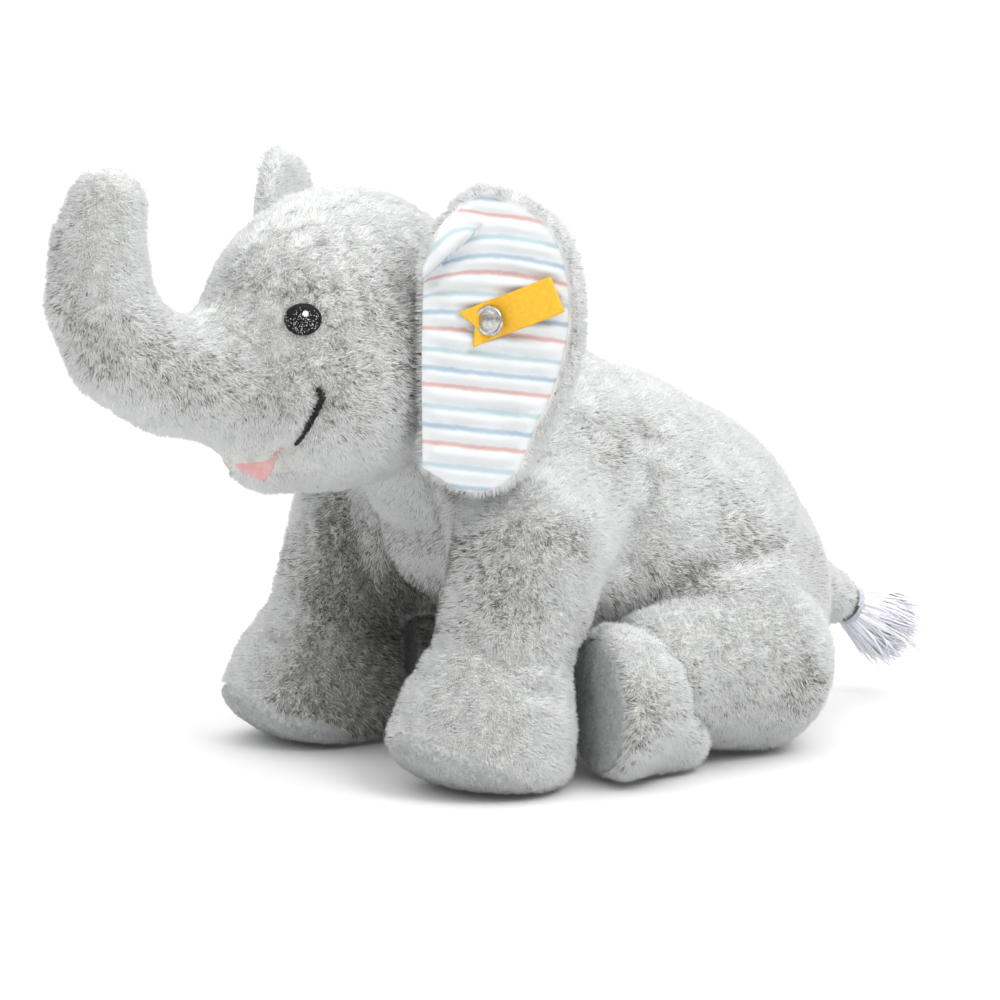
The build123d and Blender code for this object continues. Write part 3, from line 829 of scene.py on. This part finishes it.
def edge_gap(a, z, fold):
    """Distance beyond the ear's edge, below zero inside it."""
    if not fold:
        z = z - 2.0 * step_up(z, 125, 160)
    gap = np.full(np.broadcast(a, z).shape, 1e6)
    inside = np.zeros(gap.shape, bool)
    for (a1, z1), (a2, z2) in zip(EAR_CURVE, np.roll(EAR_CURVE, -1, axis=0)):
        da, dz = a2 - a1, z2 - z1
        t = np.clip(((a - a1) * da + (z - z1) * dz) / (da * da + dz * dz + 1e-9), 0, 1)
        gap = np.minimum(gap, np.hypot(a - a1 - t * da, z - z1 - t * dz))
        cross = (z1 > z) != (z2 > z)
        at = a1 + (z - z1) * da / (dz if abs(dz) > 1e-9 else 1e-9)
        inside ^= cross & (a < at)
    return np.where(inside, -gap, gap)


def rim_width(a, z):
    """How much plush shows round the lining, which is widest behind and above."""
    turn = np.degrees(np.arctan2(z - EAR_MIDDLE[1], a - EAR_MIDDLE[0]))
    return np.interp(turn, EAR_RIM_TURNS, EAR_RIM_WIDTHS)


def from_fold(a, z):
    """Places in the ear's plane, measured along its fold line and up from it."""
    da, dz = a - FOLD_START[0], z - FOLD_START[1]
    return da * FOLD_WAY[0] + dz * FOLD_WAY[1], da * FOLD_UP[0] + dz * FOLD_UP[1]


def ear_height(a, z, fold):
    """How far the ear's middle surface stands before its plane: folded, or leaning at its top."""
    height = -0.8 + 1.6 * step_up(a, 26, 44)
    if not fold:
        return height + 3.2 * step_up(z, 122, 156)
    along, up = from_fold(a, z)
    fade = 1 - step_up(along, FOLD_LENGTH - 8, FOLD_LENGTH + 6)
    return height + fade * (FOLD_HEIGHT * step_up(up, -0.2, 1.8) - groove(up + 0.6, 1.8, 1.4))


def ear_form(p, fold):
    """The plush ear in its own coordinates: along, in front, up."""
    a, front, z = p
    gap = edge_gap(a, z, fold) + 0.9
    rounding, half = 2.3, 2.4
    across = np.abs(front - ear_height(a, z, fold)) - (half - rounding)
    beyond = gap + rounding
    outside = np.hypot(np.maximum(beyond, 0), np.maximum(across, 0))
    return np.minimum(np.maximum(beyond, across), 0) + outside - rounding


def ear_axes(side):
    """The ways along an ear and out of its front."""
    out = np.array([side * cos(EAR_SWEEP), sin(EAR_SWEEP), 0])
    return out, np.array([side * sin(EAR_SWEEP), -cos(EAR_SWEEP), 0])


def from_ear(local, side):
    """Ear coordinates as places in the toy's frame."""
    out, front = ear_axes(side)
    root = np.array([side * EAR_HINGE[0], EAR_HINGE[1], 0])
    return root + local[:, :1] * out + local[:, 1:2] * front + local[:, 2:] * np.array([0, 0, 1])


def stripe_phase(a, z, fold):
    """How many pink stripes lie above a place on the lining."""
    high = step_up(z, 112, 150)
    level = z + 0.10 * (a - 1) + high * (2.2 * ((a - 20) / 20) ** 2 - 3.2)
    if fold:
        along, up = from_fold(a, z)
        fade = 1 - step_up(along, FOLD_LENGTH - 8, FOLD_LENGTH + 8)
        level = level + 2.5 * np.exp(-np.abs(up) / 3.0) * (up < 0.2) * fade
        share = step_up(up, -0.1, 0.7) * fade
        level = level * (1 - share) + (STRIPE_TOP + 4.2 + up * 0.9) * share
    drop = np.maximum(STRIPE_TOP - level, -40)
    root = np.sqrt(STRIPE_PITCH**2 + 4 * STRIPE_STRETCH * np.abs(drop))
    return np.sign(drop) * (root - STRIPE_PITCH) / (2 * STRIPE_STRETCH)


LINING_WHITE = (0.70, 0.72, 0.73)
STRIPES = [  # each one's place between two pink ones, its colour and its half width
    (0.025, (0.62, 0.40, 0.38), 0.065),
    (0.40, (0.44, 0.55, 0.58), 0.075),
    (0.73, (0.36, 0.46, 0.55), 0.075),
]


def stripe_layer(tree, phase, offset, tint, width, under):
    """Mixes one stripe's colour over the layer under it, or over white where there is none."""
    shift = add_math(tree, "SUBTRACT", phase, offset)
    wrap = add_math(tree, "PINGPONG", shift.outputs[0], 0.5)
    mask = add_node(tree, "MapRange", From_Min=width, From_Max=0.006)
    mask.interpolation_type = "SMOOTHSTEP"
    tree.links.new(wrap.outputs[0], mask.inputs["Value"])
    blend = tree.nodes.new("ShaderNodeMix")
    blend.data_type = "RGBA"
    tree.links.new(mask.outputs["Result"], blend.inputs["Factor"])
    if under is None:
        blend.inputs["A"].default_value = (*LINING_WHITE, 1)
    else:
        tree.links.new(under, blend.inputs["A"])
    blend.inputs["B"].default_value = (*tint, 1)
    return blend.outputs["Result"]


def make_lining_material():
    """White velour with thin soft stripes of pink, teal and blue, by the mesh's stripe attribute."""
    material = plain_material("lining_velour", LINING_WHITE, 0.8, sheen=0.2)
    tree = material.node_tree
    phase = add_node(tree, "Attribute")
    phase.attribute_name = "stripe"
    place = add_node(tree, "TexCoord")
    blur = add_node(tree, "TexNoise", Scale=420, Detail=4)
    tree.links.new(place.outputs["Object"], blur.inputs["Vector"])
    wobble = add_math(tree, "MULTIPLY_ADD", blur.outputs["Fac"], 0.05)
    tree.links.new(phase.outputs["Fac"], wobble.inputs[2])
    colour = None
    for offset, tint, width in STRIPES:
        colour = stripe_layer(tree, wobble.outputs[0], offset, tint, width, colour)
    tree.links.new(colour, tree.nodes["Principled BSDF"].inputs["Base Color"])
    add_grain(tree, place, 2600, 2, 0.25, 0.0003)
    return material


def lining_shape(fold):
    """The lining's points in ear coordinates, its faces and each point's stripe phase."""
    rings, spokes = 64, 260
    angle = np.arange(spokes) * tau / spokes
    reach = np.linspace(0, 70, 1401)
    a = EAR_MIDDLE[0] + np.cos(angle)[:, None] * reach
    z = EAR_MIDDLE[1] + np.sin(angle)[:, None] * reach
    inside = edge_gap(a, z, fold) < -rim_width(a, z)
    radius = reach[np.argmin(inside, axis=1) - 1]
    share = np.linspace(0, 1, rings + 1)[1:] ** 0.85
    a = EAR_MIDDLE[0] + share[:, None] * (np.cos(angle) * radius)
    z = EAR_MIDDLE[1] + share[:, None] * (np.sin(angle) * radius)
    phase = stripe_phase(a, z, fold)
    to_edge = (1 - share)[:, None] * radius[None]
    puff = 1.2 * np.minimum(to_edge / 9, 1) ** 0.6
    ribs = 0.65 * np.cos(phase * 3 * tau + 0.3) * np.minimum(to_edge / 5, 1)
    flat = np.stack([a.ravel(), np.zeros(a.size), z.ravel() * 1.6], 1)
    wrinkle = 0.35 * ripple(flat, 14, 61).reshape(a.shape)
    base = ear_height(a, z, fold) + 2.5
    front = base + puff - ribs + wrinkle * np.minimum(to_edge / 5, 1)
    if fold:
        front = front - 1.5 * np.exp(-((np.hypot(a - RIVET_A, z - RIVET[2]) / 5.5) ** 2))
    centre = np.array([[EAR_MIDDLE[0], front[0].mean(), EAR_MIDDLE[1]]])
    top = np.stack([a, front, z], -1).reshape(-1, 3)
    under = np.stack([a, base - 0.8, z], -1).reshape(-1, 3)
    faces = lattice_faces(rings, spokes, True)
    shift = rings * spokes
    first = np.arange(spokes)
    after = np.roll(first, -1)
    edge = shift - spokes  # where the outermost ring starts
    wall = np.stack([first + edge, after + edge, after + edge + shift, first + edge + shift], 1)
    hub = 2 * shift
    cap = np.stack([np.full(spokes, hub), after, first], 1)
    cap_under = np.stack([np.full(spokes, hub + 1), first + shift, after + shift], 1)
    points = np.concatenate([top, under, centre, centre - (0, 1.0, 0)])
    faces = np.concatenate([faces, faces[:, ::-1] + shift, wall])
    middle = stripe_phase(EAR_MIDDLE[:1], EAR_MIDDLE[1:], fold)
    stripes = np.concatenate([phase.ravel(), phase.ravel(), middle, middle])
    return points, faces, np.concatenate([cap, cap_under]), stripes


def mixed_mesh(name, points, quads, triangles, materials):
    """An object whose faces have three or four corners."""
    mesh = bpy.data.meshes.new(name)
    mesh.from_pydata((points * MM).tolist(), [], quads.tolist() + triangles.tolist())
    mesh.polygons.foreach_set("use_smooth", np.full(len(mesh.polygons), True))
    mesh.update()
    for material in materials:
        mesh.materials.append(material)
    thing = bpy.data.objects.new(name, mesh)
    bpy.context.scene.collection.objects.link(thing)
    return thing


def make_ears():
    """Plush backs with their pile, and the striped linings."""
    material = make_lining_material()
    for word, side in SIDES.items():
        fold = word == "left"
        make_ear_back(word, side, fold)
        make_lining(word, side, fold, material)


def make_ear_back(word, side, fold):
    """An ear's cloth, and pile where no lining covers it."""
    body = f"ear_{word}"
    local, faces = polygonise(lambda p: ear_form(p, fold), *EAR_BOX, 1.0)
    sided = faces if side < 0 else faces[:, ::-1]
    points = from_ear(local, side)
    thing = mesh_object(f"{body}_cloth", points, sided, [PALE_BACKING])
    settle(thing, "plush", body, f"ear_back_{word}")
    spots, ups = scatter(local, faces, DENSITY * 1.1, 51)
    a, front, z = columns(spots)
    middle = ear_height(a, z, fold)
    covered = (front > middle) & (edge_gap(a, z, fold) < -rim_width(a, z) + 0.5)
    covered |= a < -2.2
    spots, ups = spots[~covered], ups[~covered]
    a, _, z = columns(spots)
    nap = np.stack([a - EAR_MIDDLE[0], np.full(len(spots), 6.0), (z - EAR_MIDDLE[1]) * 0.6 - 12], 1)
    root = from_ear(np.zeros((1, 3)), side)
    fur = (from_ear(spots, side), from_ear(ups, side) - root, from_ear(nap, side) - root)
    pile(f"{body}_pile", *fur, 52 + int(side), length=2.9, lean=0.35, dark=0.10, place=ride(body))


def make_lining(word, side, fold, material):
    """An ear's striped lining."""
    body = f"ear_{word}"
    local, quads, triangles, stripes = lining_shape(fold)
    if side > 0:
        quads, triangles = quads[:, ::-1], triangles[:, ::-1]
    lining = mixed_mesh(f"{body}_lining", from_ear(local, side), quads, triangles, [material])
    stripe = lining.data.attributes.new("stripe", "FLOAT", "POINT")
    stripe.data.foreach_set("value", stripes.astype(np.float32))
    settle(lining, "lining_velour", body, f"ear_lining_{word}")


# ---------------------------------------------------------------- tag and rivet


def tag_point(along, across, height):
    """A place on the tag, from the rivet, as a place in the toy's frame."""
    a = along * cos(TAG_TILT) - across * sin(TAG_TILT)
    z = along * sin(TAG_TILT) + across * cos(TAG_TILT)
    out, front = ear_axes(SIDES["left"])
    return RIVET + out * a[..., None] + front * height[..., None] + np.array([0, 0, 1.0]) * z[..., None]


def make_tag():
    """A blank ribbon folded in two under the rivet, with a notched end."""
    rows, cols = 90, 15
    far = TAG_LENGTH - TAG_BEFORE
    t = np.linspace(-1, 1, rows)[:, None]
    v = np.linspace(-0.5, 0.5, cols)[None] * TAG_WIDTH
    end = -TAG_BEFORE - 1.2 + 2.6 * (1 - np.abs(v) / (TAG_WIDTH / 2))
    bend, turned = 0.45, 0.04  # the fold's radius, and its share of each half
    legs = far - (far - end) * (np.abs(t) - turned) / (1 - turned)
    along = np.where(np.abs(t) > turned, legs, far + 0.6 * bend * np.cos(t / turned * pi / 2))
    layer = np.clip(t / turned, -1, 1)
    lift = 1.5 * np.exp(-(((along - 9) / 7.0) ** 2)) + 1.2 * step_up(along, 8, far)
    pressed = 1 - np.exp(-((along / 4.5) ** 2))
    height = 3.3 + (0.9 + lift * 0.8) * pressed + layer * bend * (0.35 + 0.65 * pressed)
    height = height + 0.2 * np.sin(v / 3 + along / 5)
    grid = tag_point(along, v + 0 * t, height)
    points, faces = thick_sheet(grid, 0.22)
    tag = mesh_object("ribbon_tag", points, faces, [make_ribbon_material()])
    settle(tag, "tag_ribbon", "ear_tag", "ear_tag")


def make_ribbon_material():
    """Yellow ribbon, a little uneven and with a fine grain."""
    dark, pale = (0.76, 0.39, 0.012), (0.84, 0.47, 0.02)
    return mottled_material("tag_ribbon", dark, pale, 900, 0.55, 0.1, 0.35, 4200)


def make_rivet():
    """A plain domed rivet with a raised rim, its shank, and the washer behind."""
    out, front = ear_axes(SIDES["left"])
    dome_profile = [(0, 5.9), (0.8, 5.86), (1.6, 5.7), (2.3, 5.4), (2.8, 5.05), (3.05, 4.95), (3.25, 5.1)]
    dome_profile += [(3.45, 5.3), (3.7, 5.3), (3.95, 5.0), (4.05, 4.65), (3.9, 4.35), (3.5, 4.2), (0, 4.15)]
    shank_profile = [(0, 4.9), (1.2, 4.9), (1.2, -3.2), (3.9, -3.2), (4.0, -3.7), (3.4, -4.0), (0, -4.1)]
    pivot = 4.3  # the dome is askew about this height
    dome_way = front * cos(DOME_TILT) - out * sin(DOME_TILT)
    profile = [(radius, height - pivot) for radius, height in dome_profile]
    dome = lathe(profile, RIVET + front * pivot, dome_way, 64)
    points, faces = joined([dome, lathe(shank_profile, RIVET, front, 48)])
    dark, pale = (0.36, 0.36, 0.36), (0.62, 0.61, 0.60)
    metal = mottled_material("rivet_metal", dark, pale, 900, 0.28, 0.0, 0.6, 700)
    metal.node_tree.nodes["Principled BSDF"].inputs["Metallic"].default_value = 1.0
    rivet = mesh_object("rivet_dome", points, faces, [metal])
    settle(rivet, "rivet_metal", "ear_left", "rivet", "rivet_washer")


# ---------------------------------------------------------------- face


def eye_patch(place, right, up, way):
    """The eye's domed patch of satin stitches, with a notched edge: points and faces."""
    spokes, rings = 72, 16
    angle = np.arange(spokes) * tau / spokes
    share = np.linspace(0, 1, rings)[:, None]
    reach = EYE_R * (1 + 0.03 * np.sin(angle * 36) * (share > 0.9)) * share
    x, y = np.cos(angle) * reach, np.sin(angle) * reach * EYE_FLAT
    height = EYE_DOME * np.sqrt(np.maximum(1 - share**2, 0)) - EYE_SUNK
    height = height + 0.10 * np.sin(x * 7.5 + 0.6 * np.sin(y * 2))
    rim = np.where(share == 1, -1.9, height)
    points = place + (x[..., None] * right + y[..., None] * up + rim[..., None] * way)
    return points.reshape(-1, 3), lattice_faces(rings, spokes, True)


def eye_glitter(place, right, up, way):
    """Specks of glitter thread over the lower part of an eye: points and faces."""
    rng = np.random.default_rng(71)
    specks = []
    for _ in range(230):
        radius, turn = EYE_R * 0.93 * np.sqrt(rng.random()), rng.uniform(0, tau)
        px, py = radius * np.cos(turn), radius * np.sin(turn) * EYE_FLAT
        if py > 1.4 + rng.normal(0, 0.8):
            continue
        lift = EYE_DOME * np.sqrt(1 - (radius / EYE_R) ** 2) - EYE_SUNK + 0.10
        size = rng.uniform(0.07, 0.15)
        at = place + px * right + py * up + lift * way
        facing = unit(way + rng.normal(0, 0.35, 3))
        specks.append(lathe([(0, 0), (size, 0.03), (size * 0.6, 0.08), (0, 0.1)], at, facing, 5))
    return joined(specks)


def make_eyes():
    """Round embroidered eyes with glitter thread and a white highlight stitch."""
    dark, pale = (0.002, 0.002, 0.003), (0.008, 0.008, 0.010)
    thread = mottled_material("eye_thread", dark, pale, 2200, 0.5, 0.0, 0.6, 2600)
    thread.node_tree.nodes["Principled BSDF"].inputs["Specular IOR Level"].default_value = 0.2
    glitter = plain_material("eye_glitter", (0.75, 0.78, 0.82), 0.2, metal=0.8)
    white = plain_material("eye_highlight", (0.95, 0.95, 0.95), 0.5)
    for word, side in SIDES.items():
        place = EYE * (side, 1, 1)
        way = gradient(head_form, place)
        right = unit(np.cross(np.array([0, 0, 1.0]), way))
        up = np.cross(way, right)
        patch = mesh_object(f"eye_{word}_patch", *eye_patch(place, right, up, way), [thread])
        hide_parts(f"eye_{word}")
        specks = eye_glitter(place, right, up, way)
        flecks = mesh_object(f"eye_{word}_glitter", *specks, [glitter], smooth=False)
        spark = place + 1.3 * up + side * 0.9 * right + 0.15 * way
        shape = lathe([(0, 0.28), (0.45, 0.25), (0.75, 0.12), (0.8, -0.1), (0, -0.2)], spark, way, 20)
        spot = mesh_object(f"eye_{word}_highlight", *shape, [white])
        for thing in (patch, flecks, spot):
            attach(thing, "head")


def make_smile():
    """The smile as a row of overlapping black stitches on each cheek."""
    dark, pale = (0.004, 0.004, 0.004), (0.014, 0.014, 0.014)
    thread = mottled_material("smile_thread", dark, pale, 1800, 0.8, 0.0, 0.6, 3000)
    route = smooth_curve(SMILE, 6)
    steps = np.concatenate([[0], np.cumsum(np.linalg.norm(np.diff(route, axis=0), axis=1))])
    for word, side in SIDES.items():
        stitches = []
        for number in range(STITCHES):
            ends = (np.array([number, number + 1.15]) / STITCHES) * steps[-1]
            t = np.linspace(*ends, 7)
            y, z = np.interp(t, steps, route[:, 0]), np.interp(t, steps, route[:, 1])
            x = np.array([surface_x(head_form, b, c, -1.0, side) for b, c in zip(y, z)])
            hump = np.sin(np.linspace(0, pi, 7))
            line = np.stack([x + side * 0.3 * hump, y + 0.1 * (-1) ** number, z], 1)
            thick = 1.15 - 0.5 * number / STITCHES
            stitches.append(tube(line, thick * (0.35 + 0.65 * hump), 8))
        smile = mesh_object(f"smile_{word}", *joined(stitches), [thread])
        settle(smile, "smile_thread", "head", f"smile_stitch_{word}")


def make_mouth():
    """The pink lining that shows between the trunk and the lower lip."""
    turn = np.radians(np.linspace(-74, 74, 75))[None]
    low = mouth_floor(np.degrees(turn)) - 0.8
    share = np.linspace(0, 1, 14)[:, None]
    z = low + np.maximum(MOUTH_TOP + 0.6 - low, 0.3) * share
    radius = 13.7 + 0.5 * np.sin(share * pi)
    level = np.sqrt(np.maximum(radius**2 - z**2, 1))
    grid = np.stack([JAW[0] + level * np.sin(turn), JAW[1] - level * np.cos(turn), JAW[2] + z], -1)
    dark, pale = (0.60, 0.31, 0.31), (0.70, 0.42, 0.41)
    velour = mottled_material("mouth_velour", dark, pale, 500, 0.85, 0.5, 0.3, 2400)
    points, faces = thick_sheet(grid, 0.8)
    mouth = mesh_object("mouth_velour", points, faces, [velour])
    settle(mouth, "mouth", "head", "mouth_lining")


# ---------------------------------------------------------------- soles and tail


def make_soles():
    """Short-napped velour soles, a little crowned, with their own fine nap."""
    dark, pale = (0.44, 0.46, 0.45), (0.56, 0.58, 0.57)
    velour = mottled_material("sole_velour", dark, pale, 700, 0.85, 0.4, 0.4, 2200)
    naps = [
        plain_material("sole_nap_pale", (0.66, 0.68, 0.68), sheen=0.3),
        plain_material("sole_nap_grey", (0.52, 0.54, 0.54), sheen=0.3),
    ]
    for kind, (form, low, high) in LIMBS.items():
        patch = SOLES[kind]

        def pad(p, form=form, patch=patch):
            return trim(trim(form(p) + 0.9, -in_sole(p, *patch), 1.0), -form(p) - 4.5, 1.0)

        points, faces = polygonise(pad, low, high, 1.0)
        places, normals = scatter(points, faces, 7.0, 81)
        keep = (form(columns(places)) > -1.6) & (places[:, 2] > 0.7)
        places, normals = places[keep], normals[keep]
        for word, side in SIDES.items():
            body = f"{kind}_{word}"
            flip = np.array([side, 1, 1])
            thing = leg_piece(f"{body}_sole_pad", body, side, points, faces, velour)
            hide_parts(f"{body}_sole")
            at, up = places * flip, normals * flip
            ways = combed(at, up, nap_field(at, (0.2 * side, -0.1, -1)), 0.9, 82, 0.3, 1.5)
            rng = np.random.default_rng(83)
            picks = (rng.random(len(at)) > 0.6).astype(int)
            lengths = rng.uniform(0.9, 1.3, len(at))
            widths = np.full(len(at), 0.30)
            nap = strand_mesh(f"{body}_sole_nap", at - up * 0.15, ways, lengths, widths, picks, naps)
            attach(nap, body)


def tail_axes():
    """The ways along the tail, to its left and up from it."""
    way = unit(TAIL_END - TAIL_ROOT)
    side = np.array([1.0, 0, 0])
    return way, side, np.cross(side, way)


def make_tuft():
    """The tail's yarn tuft, fanning out of its binding."""
    way, side, up = tail_axes()
    rng = np.random.default_rng(91)
    white = plain_material("yarn_white", (0.90, 0.90, 0.92), 0.8, sheen=0.3)
    lilac = plain_material("yarn_lilac", (0.76, 0.75, 0.86), 0.8, sheen=0.3)
    grey = plain_material("yarn_grey", (0.62, 0.62, 0.68), 0.8, sheen=0.3)
    yarns, picks = [], []
    for _ in range(YARNS):
        turn, share = rng.uniform(0, tau), np.sqrt(rng.random())
        out = side * np.cos(turn) + up * np.sin(turn)
        start = TAIL_ROOT + way * (TAIL_COVER + 1.0) + out * share * 5.6
        reach = rng.uniform(14.5, 22.0) * (1 - 0.14 * share)
        t = np.linspace(0, 1, 5)[:, None]
        flare = out * share * (8.4 * t - 5.4 * t**2)
        bend = rng.normal(0, 1.9, 3) * t**2 + np.array([0, 0, -1.2]) * t**2
        line = start + way * reach * t + flare + bend
        line[:, 2] = np.maximum(line[:, 2], 0.6)
        yarns.append(tube(line, rng.uniform(0.27, 0.42) * np.array([1, 1, 0.95, 0.75, 0.15]), 5))
        picks += [rng.choice(3, p=[0.5, 0.32, 0.18])] * 20
    tuft = mesh_object("tail_yarn_tuft", *joined(yarns), [white, lilac, grey], picks)
    settle(tuft, "tail_yarn", "tail", "tail_tuft")


def make_binding():
    """Six turns of thread that bind the tuft."""
    way, side, up = tail_axes()
    turns = np.linspace(0, 6 * tau, 220)
    coil = TAIL_ROOT + way * (TAIL_COVER - 0.6 + turns[:, None] / tau * 0.62)
    coil = coil + (side * np.cos(turns)[:, None] + up * np.sin(turns)[:, None]) * (BINDING_R - 0.6)
    dark, pale = (0.46, 0.46, 0.54), (0.62, 0.62, 0.70)
    thread = mottled_material("binding_thread", dark, pale, 1500, 0.7, 0.2, 0.5, 3000)
    binding = mesh_object("tail_binding_thread", *tube(coil, np.full(len(coil), 0.42), 8), [thread])
    settle(binding, "binding_thread", "tail", "tail_binding")


# ---------------------------------------------------------------- camera, light and floor

CAMERA_AZIMUTH, CAMERA_ELEVATION = radians(55), radians(9)
CAMERA_DISTANCE = 1.5
CAMERA_AIM = Vector((0, -0.0015, 0.0684))


def make_camera():
    """A long lens in front and to the left of the toy."""
    back = Vector(
        (
            sin(CAMERA_AZIMUTH) * cos(CAMERA_ELEVATION),
            -cos(CAMERA_AZIMUTH) * cos(CAMERA_ELEVATION),
            sin(CAMERA_ELEVATION),
        )
    )
    lens = bpy.data.cameras.new("camera")
    lens.lens = 200
    lens.sensor_width = 36
    lens.clip_start = 0.1
    camera = bpy.data.objects.new("camera", lens)
    camera.location = CAMERA_AIM + back * CAMERA_DISTANCE
    camera.rotation_euler = back.to_track_quat("Z", "Y").to_euler()
    bpy.context.scene.collection.objects.link(camera)
    bpy.context.scene.camera = camera


def make_floor():
    """A wide pale floor."""
    size = 30000.0  # half a side
    points = [(-size, -size, 0), (size, -size, 0), (size, size, 0), (-size, size, 0)]
    paint = mottled_material("floor_paint", (0.78, 0.78, 0.78), (0.82, 0.82, 0.82), 3, sheen=0, bump=0)
    shader = paint.node_tree.nodes["Principled BSDF"]
    shader.inputs["Emission Color"].default_value = (1, 1, 1, 1)
    shader.inputs["Emission Strength"].default_value = 0.02
    floor = mesh_object("floor", points, [[0, 1, 2, 3]], [paint])


def make_light(name, place, aim, size, power):
    """A square soft light."""
    lamp = bpy.data.lights.new(name, "AREA")
    lamp.size = size
    lamp.energy = power
    thing = bpy.data.objects.new(name, lamp)
    thing.location = place
    thing.rotation_euler = (Vector(place) - Vector(aim)).to_track_quat("Z", "Y").to_euler()
    bpy.context.scene.collection.objects.link(thing)


def make_world():
    """Soft light that grows brighter upwards, seen as plain white by the camera."""
    world = bpy.data.worlds.new("studio")
    world.use_nodes = True
    tree = world.node_tree
    sky = tree.nodes["Background"]
    place = add_node(tree, "TexCoord")
    split = add_node(tree, "SeparateXYZ")
    height = add_node(tree, "MapRange", From_Min=0.0, From_Max=1.0, To_Min=0.16, To_Max=2.05)
    height.interpolation_type = "SMOOTHSTEP"
    white = add_node(tree, "Background", Strength=1.05)
    seen = add_node(tree, "LightPath")
    mix = add_node(tree, "MixShader")
    tree.links.new(place.outputs["Generated"], split.inputs["Vector"])
    tree.links.new(split.outputs["Z"], height.inputs["Value"])
    tree.links.new(height.outputs["Result"], sky.inputs["Strength"])
    tree.links.new(seen.outputs["Is Camera Ray"], mix.inputs["Fac"])
    tree.links.new(sky.outputs["Background"], mix.inputs[1])
    tree.links.new(white.outputs["Background"], mix.inputs[2])
    tree.links.new(mix.outputs["Shader"], tree.nodes["World Output"].inputs["Surface"])
    for shader in (sky, white):
        shader.inputs["Color"].default_value = (1, 1, 1, 1)
    bpy.context.scene.world = world


def make_stage():
    """World, light and floor."""
    make_world()
    bpy.context.scene.view_settings.view_transform = "Standard"
    make_light("key", (1.15, 0.1, 1.2), (0, -0.01, 0.08), 0.6, 9)
    make_floor()


make_camera()
make_stage()
make_torso()
make_head()
make_limbs()
make_tail()
make_ears()
make_tag()
make_rivet()
make_eyes()
make_smile()
make_mouth()
make_soles()
make_tuft()
make_binding()
